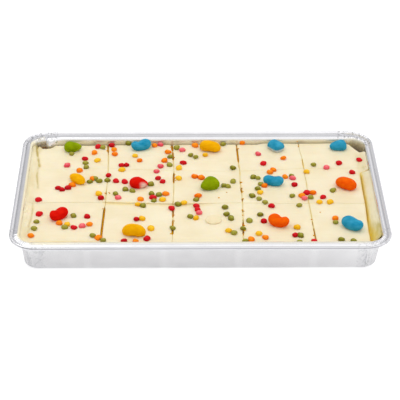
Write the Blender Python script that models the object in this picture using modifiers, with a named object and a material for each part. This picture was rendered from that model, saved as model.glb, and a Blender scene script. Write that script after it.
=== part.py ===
"""A vanilla tray cake in its foil tray, iced, cut into fifteen portions and dressed with
jelly beans and round sugar sprinkles. Metres, +Z up, the tray's base on z = 0, its long
side along X and its front side towards -Y.
"""

import math
import random

import bmesh
import bpy
import numpy as np

MM = 0.001

# The foil tray, measured over its rolled rim.
TRAY_WIDTH = 355 * MM
TRAY_DEPTH = 213 * MM
RIM_HEIGHT = 33.8 * MM
RIM_CORNER = 26 * MM
CORNER_SHARE = 1.1
LEAST_CORNER = 14 * MM
FOIL = 0.6 * MM
# How far the rim reaches out from the walls: front, right, back and left. Its flat part
# falls a little towards its rolled edge.
RIM_WIDTHS = (11.5 * MM, 8.2 * MM, 12.6 * MM, 9.6 * MM)
RIM_FALL = 0.7 * MM
BEAD_WIDTH = 4.6 * MM
BEAD_RISE = 1.2 * MM
WALL_LEAN = 3.4 * MM
FOOT_RADIUS = 2.6 * MM
FLUTE_WIDTH = 8 * MM
FLUTE_DEPTH = 0.8 * MM
FLUTE_PITCH = 70 * MM
PLEAT_DEPTH = 0.5 * MM
CORNER_STEPS = 10

# The cake. Its top lies a little under the rim, and its outer sides lean like the tray's.
TOUCH = 0.3 * MM
CAKE_FLOOR = FOIL + TOUCH
SPONGE_TOP = 23.4 * MM
ICING_TOP = 29.3 * MM
ICING_EDGE = 1.3 * MM
SIDE_LEAN = 4.4 * MM
CUT = 1.0 * MM
COLUMNS = 5
ROWS = 3

# Where the cuts and the cake's edges lie, in millimetres. Each line across the tray is
# given where it meets the front edge, the two long cuts and the back edge, and each line
# along the tray where it meets the six lines across, from the left.
LINES_ACROSS = (
    (-161.5, -161.5, -162.0, -162.5),
    (-92.4, -90.5, -89.6, -91.5),
    (-26.5, -25.3, -24.5, -26.6),
    (39.5, 41.0, 40.3, 39.0),
    (106.8, 105.0, 104.6, 102.4),
    (158.6, 160.1, 160.8, 162.8),
)
LINES_ALONG = (
    (-91.5, -91.5, -91.5, -91.5, -91.5, -91.5),
    (-20.8, -20.4, -23.2, -21.8, -22.0, -24.0),
    (38.5, 42.4, 37.6, 37.2, 41.6, 42.0),
    (88.3, 89.1, 89.7, 89.7, 89.3, 89.0),
)
# The cake's corners: how far each takes in of its two sides, and in how many steps. The
# back right one is broken off straight.
CAKE_CORNERS = {
    (0, 0): (12, 12, 5),
    (0, COLUMNS): (11, 11, 5),
    (ROWS, 0): (17, 13, 5),
    (ROWS, COLUMNS): (10.5, 18, 1),
}
# By row and column, how far the icing was spread over the sponge's edge towards the foil.
ICING_REACH = {(0, 0): 3.6, (1, 0): 3.6, (2, 0): 2.6, (2, COLUMNS - 1): 2.6}

# Jelly beans, one for each portion, front row first: colour, middle, length, width and
# height in millimetres, turn from above and curl in degrees, taper, how deep the notch is
# in the inside of the curl and where along the bean, and how blunt the ends are.
BEAN_LIFT = TOUCH
BEANS = (
    (
        ("red", -134.0, -45.5, 18.2, 12.6, 10.6, 38, 58, 0.02, 0.10, -0.10, 3.2),
        ("yellow", -62.0, -75.3, 20.6, 12.8, 10.6, -9, -75, -0.04, 0, 0, 3.0),
        ("cream", 12.5, -51.5, 14.5, 15.0, 5.0, 4, 20, 0.05, 0, 0, 2.4),
        ("orange", 74.2, -59.0, 17.8, 13.0, 10.8, -22, 85, -0.10, 0.22, 0.22, 3.0),
        ("blue", 143.4, -63.5, 20.2, 14.6, 11.2, -37, 60, -0.10, 0.12, 0.35, 3.0),
    ),
    (
        ("yellow", -119.0, 18.5, 19.5, 11.6, 9.6, -44, 0, 0, 0, 0, 1.6),
        ("red", -58.8, 9.5, 18.5, 14.0, 10.8, -12, 15, -0.26, 0, 0, 1.7),
        ("green", 9.2, 6.0, 19.0, 15.0, 11.6, 38, 15, 0.42, 0, 0, 2.6),
        ("blue", 72.8, 14.2, 19.0, 11.8, 9.6, -12, 58, -0.02, 0.06, 0.05, 3.2),
        ("orange", 142.7, 6.2, 21.8, 14.0, 10.6, -36, -25, 0.02, 0, 0, 2.8),
    ),
    (
        ("green", -126.7, 79.0, 17.6, 13.5, 10.2, 0, 15, -0.32, 0, 0, 2.2),
        ("blue", -58.4, 82.6, 18.8, 12.8, 10.2, 20, 70, 0.12, 0.24, -0.18, 3.2),
        ("yellow", 11.8, 77.1, 21.3, 12.5, 10.0, -16, -45, -0.10, 0, 0, 3.6),
        ("blue", 78.9, 80.4, 16.8, 13.6, 10.4, -50, 0, 0, 0, 0, 5.0),
        ("blue", 142.0, 80.2, 17.6, 13.2, 9.8, 14, -10, 0.30, 0, 0, 3.0),
    ),
)
# A curled bean lies half on its back, so its ends point backwards and up. Its middle is
# taken at a share of the curl's depth.
BEAN_ROLL = math.radians(48)
CURL_MIDDLE = 0.4
LEAST_CURL = 0.01
BEAN_FLAT = 0.40
NOTCH_LENGTH = 0.32
BEAN_SIDES = 12
BEAN_BELTS = 10
BEAN_DISCS = 8

# Sprinkles lie singly and in short runs, as a shaken jar drops them: the colours in order,
# then the first and the last one's place in millimetres.
SPRINKLE_RADIUS = 3.05 * MM
SPRINKLE_HEIGHT = 0.66
SPRINKLE_RISE = 1.2 * MM
SPRINKLE_DRIFT = 0.4
SPRINKLE_SEED = 15
KEEP_FROM_CUT = 3.6 * MM
KEEP_FROM_BEAN = 3.7 * MM
RUNS = (
    ("GP", -128, 70, -131, 47),
    ("RG", -102, 84, -97, 82),
    ("RO", -88, 86, -85, 78),
    ("OO", -105, 72, -84, 69),
    ("RGG", -114, 59, -112, 43),
    ("YY", -101, 56, -76, 39),
    ("RR", -77, 47, -72, 47),
    ("G", -71, 90, -71, 90),
    ("YO", -64, 65, -59, 56),
    ("OP", -44, 86, -38, 87),
    ("GP", -22, 81, -16, 77),
    ("OG", -31, 73, -28, 64),
    ("OG", -34, 56, -29, 48),
    ("PY", -38, 45, -20, 42),
    ("R", -15, 52, -15, 52),
    ("GG", -8, 67, -3, 63),
    ("OG", -3, 86, 25, 87),
    ("YG", 7, 67, 34, 42),
    ("OP", 45, 90, 60, 69),
    ("RO", 65, 50, 85, 61),
    ("OO", 74, 38, 70, 34),
    ("GP", 115, 47, 127, 42),
    ("RR", 140, 50, 161, 56),
    ("R", 152, 33, 152, 33),
    ("YO", 107, 34, 85, 25),
    ("OP", -118, 37, -42, 35),
    ("OR", -124, 10, -128, 5),
    ("RR", -133, 2, -137, 5),
    ("GO", -107, 17, -104, 22),
    ("GG", -102, 22, -98, 18),
    ("RG", -89, 28, -90, 19),
    ("RR", -81, 18, -73, 16),
    ("YR", -97, -6, -95, -13),
    ("RR", -155, -16, -152, -41),
    ("GG", -72, 2, -65, -1),
    ("GP", -81, -6, -78, -13),
    ("RR", -40, 22, -36, 16),
    ("GO", -48, 11, -57, -16),
    ("GRG", -46, -6, -44, -19),
    ("GO", -39, -8, -33, -6),
    ("YY", -36, -17, -20, 22),
    ("YG", -59, -25, -54, -28),
    ("OO", -4, 25, 2, 23),
    ("OG", -1, -10, -3, -17),
    ("G", 33, 16, 33, 16),
    ("GG", 28, 7, 23, 9),
    ("GG", 53, 25, 58, 23),
    ("GO", 60, 11, 64, 9),
    ("GY", 57, 3, 59, -4),
    ("GGGR", 51, -10, 69, -28),
    ("GP", 91, 27, 92, 22),
    ("R", 93, 10, 93, 10),
    ("GO", 90, -10, 99, -10),
    ("RO", 104, -5, 110, -5),
    ("PG", 101, -14, 107, -13),
    ("YR", 115, -22, 119, -13),
    ("G", 130, -1, 130, -1),
    ("GY", 95, -27, 125, -22),
    ("GGO", -154, -54, -157, -78),
    ("GR", -120, -44, -107, -46),
    ("OY", -132, -57, -125, -59),
    ("G", -127, -64, -127, -64),
    ("RPO", -118, -65, -104, -59),
    ("G", -100, -78, -100, -78),
    ("OG", -95, -82, -90, -86),
    ("RY", -60, -51, -55, -50),
    ("YR", -46, -66, -50, -83),
    ("RO", -71, -86, -60, -87),
    ("RG", -27, -32, -26, -65),
    ("GY", -21, -25, -15, -22),
    ("RRP", -3, -28, -1, -40),
    ("GY", -9, -46, -4, -49),
    ("GG", 24, -31, 25, -43),
    ("G", 29, -50, 29, -50),
    ("YG", 26, -70, 31, -74),
    ("GG", 40, -67, 41, -88),
    ("GR", 57, -43, 60, -55),
    ("GO", 46, -54, 47, -86),
    ("YO", 54, -76, 60, -82),
    ("YR", 91, -66, 88, -78),
    ("G", 91, -89, 91, -89),
    ("GG", 93, -79, 130, -85),
    ("RG", 105, -88, 141, -87),
    ("OG", 128, -50, 127, -57),
)

COLOURS = {
    "foil": ((0.80, 0.80, 0.81), 0.30, 1.0),
    "sponge": ((0.72, 0.44, 0.13), 0.85, 0.0),
    "icing": ((0.93, 0.84, 0.62), 0.45, 0.0),
    "red": ((0.62, 0.01, 0.01), 0.22, 0.0),
    "orange": ((0.78, 0.09, 0.005), 0.22, 0.0),
    "yellow": ((0.80, 0.38, 0.01), 0.22, 0.0),
    "green": ((0.22, 0.32, 0.01), 0.22, 0.0),
    "blue": ((0.02, 0.24, 0.44), 0.22, 0.0),
    "cream": ((0.88, 0.74, 0.50), 0.30, 0.0),
    "sprinkle_red": ((0.58, 0.005, 0.02), 0.25, 0.0),
    "sprinkle_pink": ((0.76, 0.10, 0.16), 0.25, 0.0),
    "sprinkle_orange": ((0.90, 0.22, 0.01), 0.25, 0.0),
    "sprinkle_yellow": ((0.88, 0.48, 0.03), 0.25, 0.0),
    "sprinkle_green": ((0.22, 0.21, 0.03), 0.25, 0.0),
}
SPRINKLE_COLOURS = {
    "R": "sprinkle_red",
    "P": "sprinkle_pink",
    "O": "sprinkle_orange",
    "Y": "sprinkle_yellow",
    "G": "sprinkle_green",
}


def clear_scene():
    for obj in list(bpy.data.objects):
        bpy.data.objects.remove(obj, do_unlink=True)


def material(name):
    """The named Principled material, made on first use."""
    found = bpy.data.materials.get(name)
    if found:
        return found
    colour, roughness, metallic = COLOURS[name]
    made = bpy.data.materials.new(name)
    made.use_nodes = True
    shader = made.node_tree.nodes["Principled BSDF"]
    shader.inputs["Base Color"].default_value = (*colour, 1)
    shader.inputs["Roughness"].default_value = roughness
    shader.inputs["Metallic"].default_value = metallic
    made.diffuse_color = (*colour, 1)
    return made


def mesh_object(name, bm, colour, collection):
    bm.normal_update()
    bmesh.ops.recalc_face_normals(bm, faces=bm.faces)
    mesh = bpy.data.meshes.new(name)
    bm.to_mesh(mesh)
    bm.free()
    obj = bpy.data.objects.new(name, mesh)
    collection.objects.link(obj)
    mesh.materials.append(material(colour))
    return obj


def loft(rings, cap_first=True, cap_last=True):
    """A surface through rings of equal length, each a list of (x, y, z)."""
    bm = bmesh.new()
    loops = [[bm.verts.new(point) for point in ring] for ring in rings]
    count = len(loops[0])
    for lower, upper in zip(loops, loops[1:]):
        for i in range(count):
            j = (i + 1) % count
            bm.faces.new((lower[i], lower[j], upper[j], upper[i]))
    if cap_first:
        bm.faces.new(loops[0])
    if cap_last:
        bm.faces.new(loops[-1])
    return bm


def tray_profile():
    """(share of the rim's width, further inset, height) of the foil's underside, from the
    middle to the rolled edge."""
    wall_foot = 0.9 * MM + WALL_LEAN
    shoulder = RIM_HEIGHT - FOIL
    return (
        (1, wall_foot + FOOT_RADIUS, 0),
        (1, wall_foot + 0.3 * FOOT_RADIUS, 0.3 * FOOT_RADIUS),
        (1, wall_foot, FOOT_RADIUS),
        (1, 0.9 * MM, shoulder + RIM_FALL - 1.7 * MM),
        (1, 0.3 * MM, shoulder + RIM_FALL - 0.5 * MM),
        (1, -0.9 * MM, shoulder + RIM_FALL),
        (0, BEAD_WIDTH, shoulder),
        (0, 0.72 * BEAD_WIDTH, shoulder + BEAD_RISE),
        (0, 0.28 * BEAD_WIDTH, shoulder + BEAD_RISE),
        (0, 0.74 * FOIL, shoulder - 0.2 * MM),
    )


def flute_stations(half):
    """Places along a side at the edges of its flutes, for a straight stretch of +-half."""
    count = int(2 * half // FLUTE_PITCH)
    first = -0.5 * (count - 1) * FLUTE_PITCH
    stations = []
    for k in range(count):
        middle = first + k * FLUTE_PITCH
        for share, rise in ((-0.5, 0), (-0.2, 1), (0.2, 1), (0.5, 0)):
            stations.append((middle + share * FLUTE_WIDTH, rise))
    return stations


def tray_ring(rim_share, inset, height, fluted, pleated):
    """One round of the tray. Flutes stand out of the walls, and pleats gather the corners."""
    halves = (TRAY_DEPTH / 2, TRAY_WIDTH / 2, TRAY_DEPTH / 2, TRAY_WIDTH / 2)
    insets = [inset + rim_share * width for width in RIM_WIDTHS]
    reaches = [half - value for half, value in zip(halves, insets)]
    radius = max(RIM_CORNER - CORNER_SHARE * sum(insets) / len(insets), LEAST_CORNER)
    points = []
    for side in range(4):
        turn = side * math.pi / 2
        out = reaches[side] - radius
        ahead = reaches[(side + 1) % 4] - radius
        outline = []
        for along, rise in flute_stations(halves[(side + 1) % 4] - RIM_CORNER):
            outline.append((along, -(out + radius + fluted * rise * FLUTE_DEPTH)))
        for step in range(CORNER_STEPS + 1):
            angle = -math.pi / 2 + step / CORNER_STEPS * math.pi / 2
            pleat = pleated * PLEAT_DEPTH * (step % 2) * math.sin(2 * (angle + math.pi / 2))
            reach = radius - pleat
            outline.append((ahead + reach * math.cos(angle), -out + reach * math.sin(angle)))
        for x, y in outline:
            points.append(
                (
                    x * math.cos(turn) - y * math.sin(turn),
                    x * math.sin(turn) + y * math.cos(turn),
                    height,
                )
            )
    return points


def make_tray(collection):
    rings = []
    for place, (rim_share, inset, height) in enumerate(tray_profile()):
        on_wall = place in (2, 3)
        rings.append(tray_ring(rim_share, inset, height, fluted=on_wall, pleated=place > 1))
    tray = mesh_object("tray", loft(rings, cap_last=False), "foil", collection)
    solid = tray.modifiers.new("foil", "SOLIDIFY")
    solid.thickness = FOIL
    solid.offset = 1
    tray.data.shade_smooth()
    tray.data.set_sharp_from_angle(angle=math.radians(35))
    return tray


def cake_point(line, row_line, height):
    """Where a cross cut meets a long cut, or the cake's edge, at this height."""
    x = LINES_ACROSS[line][row_line] * MM
    y = LINES_ALONG[row_line][line] * MM
    lean = SIDE_LEAN * (ICING_TOP - height) / ICING_TOP
    if line in (0, COLUMNS):
        x -= math.copysign(lean, x)
    if row_line in (0, ROWS):
        y -= math.copysign(lean, y)
    return x, y


def portion_outline(row, column, height, inset=0.0, reach=0.0):
    """The portion's outline from its front left corner, counter-clockwise."""
    corners = ((0, 0), (1, 0), (1, 1), (0, 1))
    outline = []
    for right, back in corners:
        line, row_line = column + right, row + back
        x, y = cake_point(line, row_line, height)
        outer_x = line in (0, COLUMNS)
        outer_y = row_line in (0, ROWS)
        inward_x = -1 if right else 1
        inward_y = -1 if back else 1
        x += inward_x * ((-reach if outer_x else CUT / 2) + inset)
        y += inward_y * ((0 if outer_y else CUT / 2) + inset)
        if outer_x and outer_y:
            wide, deep, steps = CAKE_CORNERS[(row_line, line)]
            wide, deep = wide * MM - inset, deep * MM - inset
            start = {(0, 0): 180, (1, 0): 270, (1, 1): 0, (0, 1): 90}[(right, back)]
            for k in range(steps + 1):
                angle = math.radians(start + 90 * k / steps)
                across = x + inward_x * wide + wide * math.cos(angle)
                along = y + inward_y * deep + deep * math.sin(angle)
                outline.append((across, along))
        else:
            outline.append((x, y))
    return outline


def raised(outline, height):
    return [(x, y, height) for x, y in outline]


def make_sponge(row, column, collection):
    rings = [
        raised(portion_outline(row, column, CAKE_FLOOR), CAKE_FLOOR),
        raised(portion_outline(row, column, SPONGE_TOP), SPONGE_TOP),
    ]
    return mesh_object(f"sponge_{row + 1}_{column + 1}", loft(rings), "sponge", collection)


def make_icing(row, column, collection):
    floor = SPONGE_TOP + TOUCH
    shoulder = ICING_TOP - ICING_EDGE
    reach = ICING_REACH.get((row, column), 0) * MM
    rings = []
    for height, inset in ((floor, 0), (shoulder, 0), (ICING_TOP, ICING_EDGE)):
        outline = portion_outline(row, column, height, inset, reach)
        rings.append(raised(outline, height))
    return mesh_object(f"icing_{row + 1}_{column + 1}", loft(rings), "icing", collection)


def bean_girth(along, taper, blunt):
    """The bean's thickness as a share of its greatest one; along runs from -1 to 1."""
    return math.sqrt(max(0.0, 1 - abs(along) ** blunt)) * (1 + taper * along)


def bean_point(along, angle, shape):
    """A point of a bean lying along X, in millimetres; angle goes round."""
    length, width, height, curl, taper, notch, notch_at, blunt = shape
    half = math.radians(curl) / 2 or LEAST_CURL
    radius = length / 2 / math.sin(half)
    girth = bean_girth(along, taper, blunt)
    facing = max(0.0, math.cos(angle - BEAN_ROLL))
    girth *= 1 - notch * facing * math.exp(-(((along - notch_at) / NOTCH_LENGTH) ** 2))
    away = math.cos(angle) * girth * width / 2
    sag = radius * (1 - math.cos(half * along))
    full = radius * (1 - math.cos(half))
    x = (radius - away) * math.sin(half * along)
    y = away * math.cos(half * along) + math.cos(BEAN_ROLL) * (sag - CURL_MIDDLE * full)
    z = math.sin(angle) * girth * height / 2 + math.sin(BEAN_ROLL) * (sag - min(0.0, full))
    return x, y, z


def make_bean(row, column, collection):
    """A curled bean, flattened a little where it sits on the icing."""
    colour, x, y, length, width, height, turn, *bends = BEANS[row][column]
    shape = (length, width, height, *bends)
    bm = bmesh.new()
    bmesh.ops.create_uvsphere(bm, u_segments=BEAN_SIDES, v_segments=BEAN_BELTS, radius=1)
    flat = -BEAN_FLAT * height * MM
    for vert in bm.verts:
        along = max(-1.0, min(1.0, vert.co.z))
        angle = math.atan2(vert.co.y, vert.co.x)
        vert.co = [value * MM for value in bean_point(along, angle, shape)]
        vert.co.z = max(vert.co.z, flat)
    bean = mesh_object(f"bean_{row + 1}_{column + 1}", bm, colour, collection)
    lowest = min(vert.co.z for vert in bean.data.vertices)
    bean.location = (x * MM, y * MM, ICING_TOP + BEAN_LIFT - lowest)
    bean.rotation_euler = (0, 0, math.radians(turn))
    bean.data.shade_smooth()
    return bean


def bean_discs(row, column):
    """Discs that cover the portion's bean from above: (x, y, radius)."""
    _, x, y, length, width, height, turn, *bends = BEANS[row][column]
    _, taper, _, _, blunt = bends
    heading = math.radians(turn)
    discs = []
    for k in range(BEAN_DISCS):
        along = 2 * (k + 0.5) / BEAN_DISCS - 1
        px, py, _ = bean_point(along, math.pi / 2, (length, width, height, *bends))
        across = x + px * math.cos(heading) - py * math.sin(heading)
        up = y + px * math.sin(heading) + py * math.cos(heading)
        discs.append((across * MM, up * MM, bean_girth(along, taper, blunt) * width / 2 * MM))
    return discs


def sprinkle_places():
    """(colour letter, x, y) of every sprinkle, from the runs and a seeded drift."""
    draw = random.Random(SPRINKLE_SEED)
    places = []
    for colours, x0, y0, x1, y1 in RUNS:
        for k, letter in enumerate(colours):
            share = k / max(1, len(colours) - 1)
            x = x0 + share * (x1 - x0) + draw.uniform(-SPRINKLE_DRIFT, SPRINKLE_DRIFT)
            y = y0 + share * (y1 - y0) + draw.uniform(-SPRINKLE_DRIFT, SPRINKLE_DRIFT)
            places.append((letter, x * MM, y * MM))
    return places


def portion_at(x, y):
    """The portion under a place, by the cuts' middles."""
    column = sum(x > np.mean(LINES_ACROSS[i]) * MM for i in range(1, COLUMNS))
    line = min(max(column, 0), COLUMNS - 1)
    row = 0
    for j in range(1, ROWS):
        left, right = LINES_ALONG[j][line], LINES_ALONG[j][line + 1]
        row += y > 0.5 * (left + right) * MM
    return row, column


def settle(x, y, row, column):
    """Moves a sprinkle clear of the cuts, of the cake's round corners and of the bean."""
    margin = KEEP_FROM_CUT
    corners = [cake_point(column + i, row + j, ICING_TOP) for i, j in ((0, 0), (1, 0), (1, 1), (0, 1))]
    left = max(corners[0][0], corners[3][0]) + margin
    right = min(corners[1][0], corners[2][0]) - margin
    front = max(corners[0][1], corners[1][1]) + margin
    back = min(corners[2][1], corners[3][1]) - margin
    x = min(max(x, left), right)
    y = min(max(y, front), back)
    for disc_x, disc_y, radius in bean_discs(row, column) * 2:
        dx, dy = x - disc_x, y - disc_y
        near = math.hypot(dx, dy)
        if near < radius + KEEP_FROM_BEAN:
            x = disc_x + dx / near * (radius + KEEP_FROM_BEAN)
            y = disc_y + dy / near * (radius + KEEP_FROM_BEAN)
    return x, y


def make_sprinkle(letter, x, y, turn, size, collection):
    bm = bmesh.new()
    bmesh.ops.create_icosphere(bm, subdivisions=1, radius=SPRINKLE_RADIUS * size)
    ball = mesh_object("sprinkle", bm, SPRINKLE_COLOURS[letter], collection)
    ball.location = (x, y, ICING_TOP + SPRINKLE_RISE)
    ball.rotation_euler = (0.4 * turn, 0, turn)
    ball.scale = (1, 1, SPRINKLE_HEIGHT)
    return ball


def apply_modifiers(obj):
    """Replaces the object's mesh by what its modifiers make of it."""
    bpy.context.view_layer.update()
    graph = bpy.context.evaluated_depsgraph_get()
    done = bpy.data.meshes.new_from_object(obj.evaluated_get(graph))
    obj.modifiers.clear()
    obj.data = done


def dress(icing, sprinkles, row, column, helpers):
    """Joins the portion's sprinkles to its icing, then removes them."""
    draw = random.Random(SPRINKLE_SEED + 10 * row + column)
    group = bpy.data.collections.new(f"sprinkles_{row + 1}_{column + 1}")
    helpers.children.link(group)
    for letter, x, y in sprinkles:
        x, y = settle(x, y, row, column)
        make_sprinkle(letter, x, y, draw.uniform(0, 6.0), draw.uniform(0.92, 1.08), group)
    for name in SPRINKLE_COLOURS.values():
        icing.data.materials.append(material(name))
    union = icing.modifiers.new("sprinkles", "BOOLEAN")
    union.operation = "UNION"
    union.solver = "EXACT"
    union.operand_type = "COLLECTION"
    union.collection = group
    union.material_mode = "TRANSFER"
    apply_modifiers(icing)
    for ball in list(group.objects):
        bpy.data.objects.remove(ball, do_unlink=True)
    bpy.data.collections.remove(group)


def main():
    clear_scene()
    cake = bpy.data.collections.new("vanilla_tray_cake")
    helpers = bpy.data.collections.new("helpers")
    bpy.context.scene.collection.children.link(cake)
    bpy.context.scene.collection.children.link(helpers)
    make_tray(cake)
    by_portion = {}
    for letter, x, y in sprinkle_places():
        by_portion.setdefault(portion_at(x, y), []).append((letter, x, y))
    for row in range(ROWS):
        for column in range(COLUMNS):
            make_sponge(row, column, cake)
            icing = make_icing(row, column, cake)
            dress(icing, by_portion.get((row, column), []), row, column, helpers)
            make_bean(row, column, cake)


main()
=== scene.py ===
"""The looks of the vanilla tray cake: crimped foil, spread icing with cuts that stand open here
and there, crumbly sponge, jelly beans and round sugar sprinkles. Lengths are in millimetres
until a mesh is made. +X is the tray's long side, and its front side is towards -Y.
"""

import math
import random

import bpy
import numpy as np
from mathutils import Matrix, Vector


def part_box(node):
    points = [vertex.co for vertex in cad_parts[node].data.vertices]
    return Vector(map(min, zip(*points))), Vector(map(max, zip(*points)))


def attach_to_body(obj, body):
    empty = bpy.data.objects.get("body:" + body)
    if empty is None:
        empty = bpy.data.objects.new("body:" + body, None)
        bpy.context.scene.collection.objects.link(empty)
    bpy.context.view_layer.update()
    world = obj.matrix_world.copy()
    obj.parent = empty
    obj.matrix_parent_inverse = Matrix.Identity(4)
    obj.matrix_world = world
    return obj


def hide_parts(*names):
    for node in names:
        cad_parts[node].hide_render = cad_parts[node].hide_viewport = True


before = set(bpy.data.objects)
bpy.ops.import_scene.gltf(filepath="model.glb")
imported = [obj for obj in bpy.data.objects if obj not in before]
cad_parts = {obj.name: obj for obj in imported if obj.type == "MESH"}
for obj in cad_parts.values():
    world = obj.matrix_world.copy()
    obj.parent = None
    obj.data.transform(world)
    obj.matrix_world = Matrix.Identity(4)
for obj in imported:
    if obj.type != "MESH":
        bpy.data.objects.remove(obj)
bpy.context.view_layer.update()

MM = 0.001
TOUCH = 0.3
ROWS = 3
COLUMNS = 5
SEED = 15
LATTICE = 64

# Heights and the rim's reach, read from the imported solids.
RIM_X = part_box("tray")[1].x / MM
RIM_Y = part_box("tray")[1].y / MM
SPONGE_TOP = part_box("sponge_1_1")[1].z / MM
ICING_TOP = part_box("bean_1_1")[0].z / MM - TOUCH

# The cuts and the cake's edges: each line across the tray where it meets the front edge, the
# two long cuts and the back edge, and each line along it where it meets the six lines
# across, from the left.
LINES_ACROSS = (
    (-167.2, -167.2, -167.2, -167.2),
    (-92.4, -90.5, -89.6, -91.5),
    (-26.5, -25.3, -24.5, -26.6),
    (39.5, 41.0, 40.3, 39.0),
    (106.8, 105.0, 104.6, 102.4),
    (158.6, 160.1, 160.8, 162.8),
)
LINES_ALONG = (
    (-92.4, -92.4, -92.4, -92.4, -92.4, -92.4),
    (-20.8, -20.4, -23.2, -21.8, -22.0, -24.0),
    (38.5, 42.4, 37.6, 37.2, 41.6, 42.0),
    (88.3, 89.1, 89.7, 89.7, 89.3, 89.0),
)
# The cake's right edge, as places (y, x): it meets the foil only towards the back, where its
# corner is broken off.
RIGHT_EDGE = (
    (-90, 157.6), (-70, 157.6), (-55, 158.0), (-25, 158.9), (8, 159.1), (22, 159.4),
    (32.5, 159.8), (34.5, 164.0), (36.5, 168.6), (70, 168.6), (72.6, 163.4), (80, 159.0),
    (88.2, 154.4), (91, 153.0),
)
# The hole at the back left, between the icing and the foil: middle, half width and depth.
BACK_HOLE = (-153.5, 7.2, 7.2)
# (width, depth) of the cake's rounded corners, by row line and line across.
CAKE_CORNERS = {(0, 0): (12, 12), (0, COLUMNS): (5, 4), (ROWS, 0): (5, 4)}


def ease(t):
    return t * t * (3 - 2 * t)


def noise(x, y, cell_x, cell_y, seed):
    """Seeded smooth noise from -1 to 1 over a lattice of cell_x by cell_y."""
    table = np.random.default_rng(seed).uniform(-1, 1, (LATTICE, LATTICE))
    across = np.asarray(x, float) / cell_x + 0.37 * seed
    along = np.asarray(y, float) / cell_y + 0.61 * seed
    column, row = np.floor(across).astype(int), np.floor(along).astype(int)
    u, v = ease(across - column), ease(along - row)
    left, right = column % LATTICE, (column + 1) % LATTICE
    low, high = row % LATTICE, (row + 1) % LATTICE
    near = table[low, left] * (1 - u) + table[low, right] * u
    far = table[high, left] * (1 - u) + table[high, right] * u
    return near * (1 - v) + far * v


def bump(x, middle, half, power=2):
    """1 at the middle, falling smoothly to 0 a few halves away."""
    return np.exp(-np.abs((x - middle) / half) ** power)


def between(x, low, high, soft):
    """1 inside low..high and 0 outside, with edges that take about soft."""
    return 0.5 * (np.tanh((x - low) / soft) - np.tanh((x - high) / soft))


def patch(x, y, reach_x, reach_y):
    """1 inside a box and 0 outside. Each reach is (from, to, soft)."""
    return between(x, *reach_x) * between(y, *reach_y)


def rise(x, start, stop):
    """0 up to start and 1 from stop on, in a straight line between them."""
    return np.clip((x - start) / (stop - start), 0, 1)


def highest(*values):
    """The largest of several shares at each place, held to 0..1."""
    return np.clip(np.maximum.reduce(np.broadcast_arrays(*values)), 0, 1)


def flat(x, y, z):
    """Rows of (x, y, z) from three grids."""
    return np.column_stack((x.ravel(), y.ravel(), z.ravel()))


def new_object(name, points, faces, material):
    """A smooth mesh object from points in millimetres."""
    mesh = bpy.data.meshes.new(name)
    mesh.from_pydata((np.asarray(points, float) * MM).tolist(), [], faces)
    mesh.validate()
    mesh.shade_smooth()
    mesh.materials.append(material)
    piece = bpy.data.objects.new(name, mesh)
    bpy.context.scene.collection.objects.link(piece)
    return piece


def points_of(piece):
    return np.array([v.co for v in piece.data.vertices]) / MM


def move_points(piece, points):
    piece.data.vertices.foreach_set("co", (points * MM).astype(np.float32).ravel())
    piece.data.update()


def set_attribute(piece, name, values):
    """A float for each vertex, for the piece's material to read."""
    layer = piece.data.attributes.new(name, "FLOAT", "POINT")
    layer.data.foreach_set("value", np.asarray(values, np.float32))


def band(lower, upper):
    """Quads between two closed rings of indices."""
    return list(zip(lower, lower[1:] + lower[:1], upper[1:] + upper[:1], upper))


def ring_faces(rings, count):
    """Quads between stacked rings of count points each, the first ring on top."""
    numbers = [list(range(k * count, (k + 1) * count)) for k in range(rings)]
    return [face for upper, lower in zip(numbers, numbers[1:]) for face in band(lower, upper)]


def tipped_faces(rings, count):
    """Faces of stacked rings whose two last points are the tips that close them."""
    faces = ring_faces(rings, count)
    first, last = rings * count, rings * count + 1
    low = first - count
    for i in range(count):
        j = (i + 1) % count
        faces += [(first, i, j), (last, low + j, low + i)]
    return faces


def grid_faces(deep, across):
    """Quads of a grid whose rows hold across points."""
    starts = [j * across + i for j in range(deep - 1) for i in range(across - 1)]
    return [(a, a + 1, a + across + 1, a + across) for a in starts]


def border(deep, across):
    """Indices round a grid's edge, counter-clockwise."""
    grid = np.arange(deep * across).reshape(deep, across)
    return np.concatenate((grid[0, :-1], grid[:-1, -1], grid[-1, :0:-1], grid[:0:-1, 0])).tolist()


def joined(shapes):
    """The points and faces of one mesh, from the (points, faces) of many."""
    points, faces, first = [], [], 0
    for own_points, own_faces in shapes:
        points.append(own_points)
        faces += [tuple(first + i for i in face) for face in own_faces]
        first += len(own_points)
    return np.concatenate(points), faces


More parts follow.
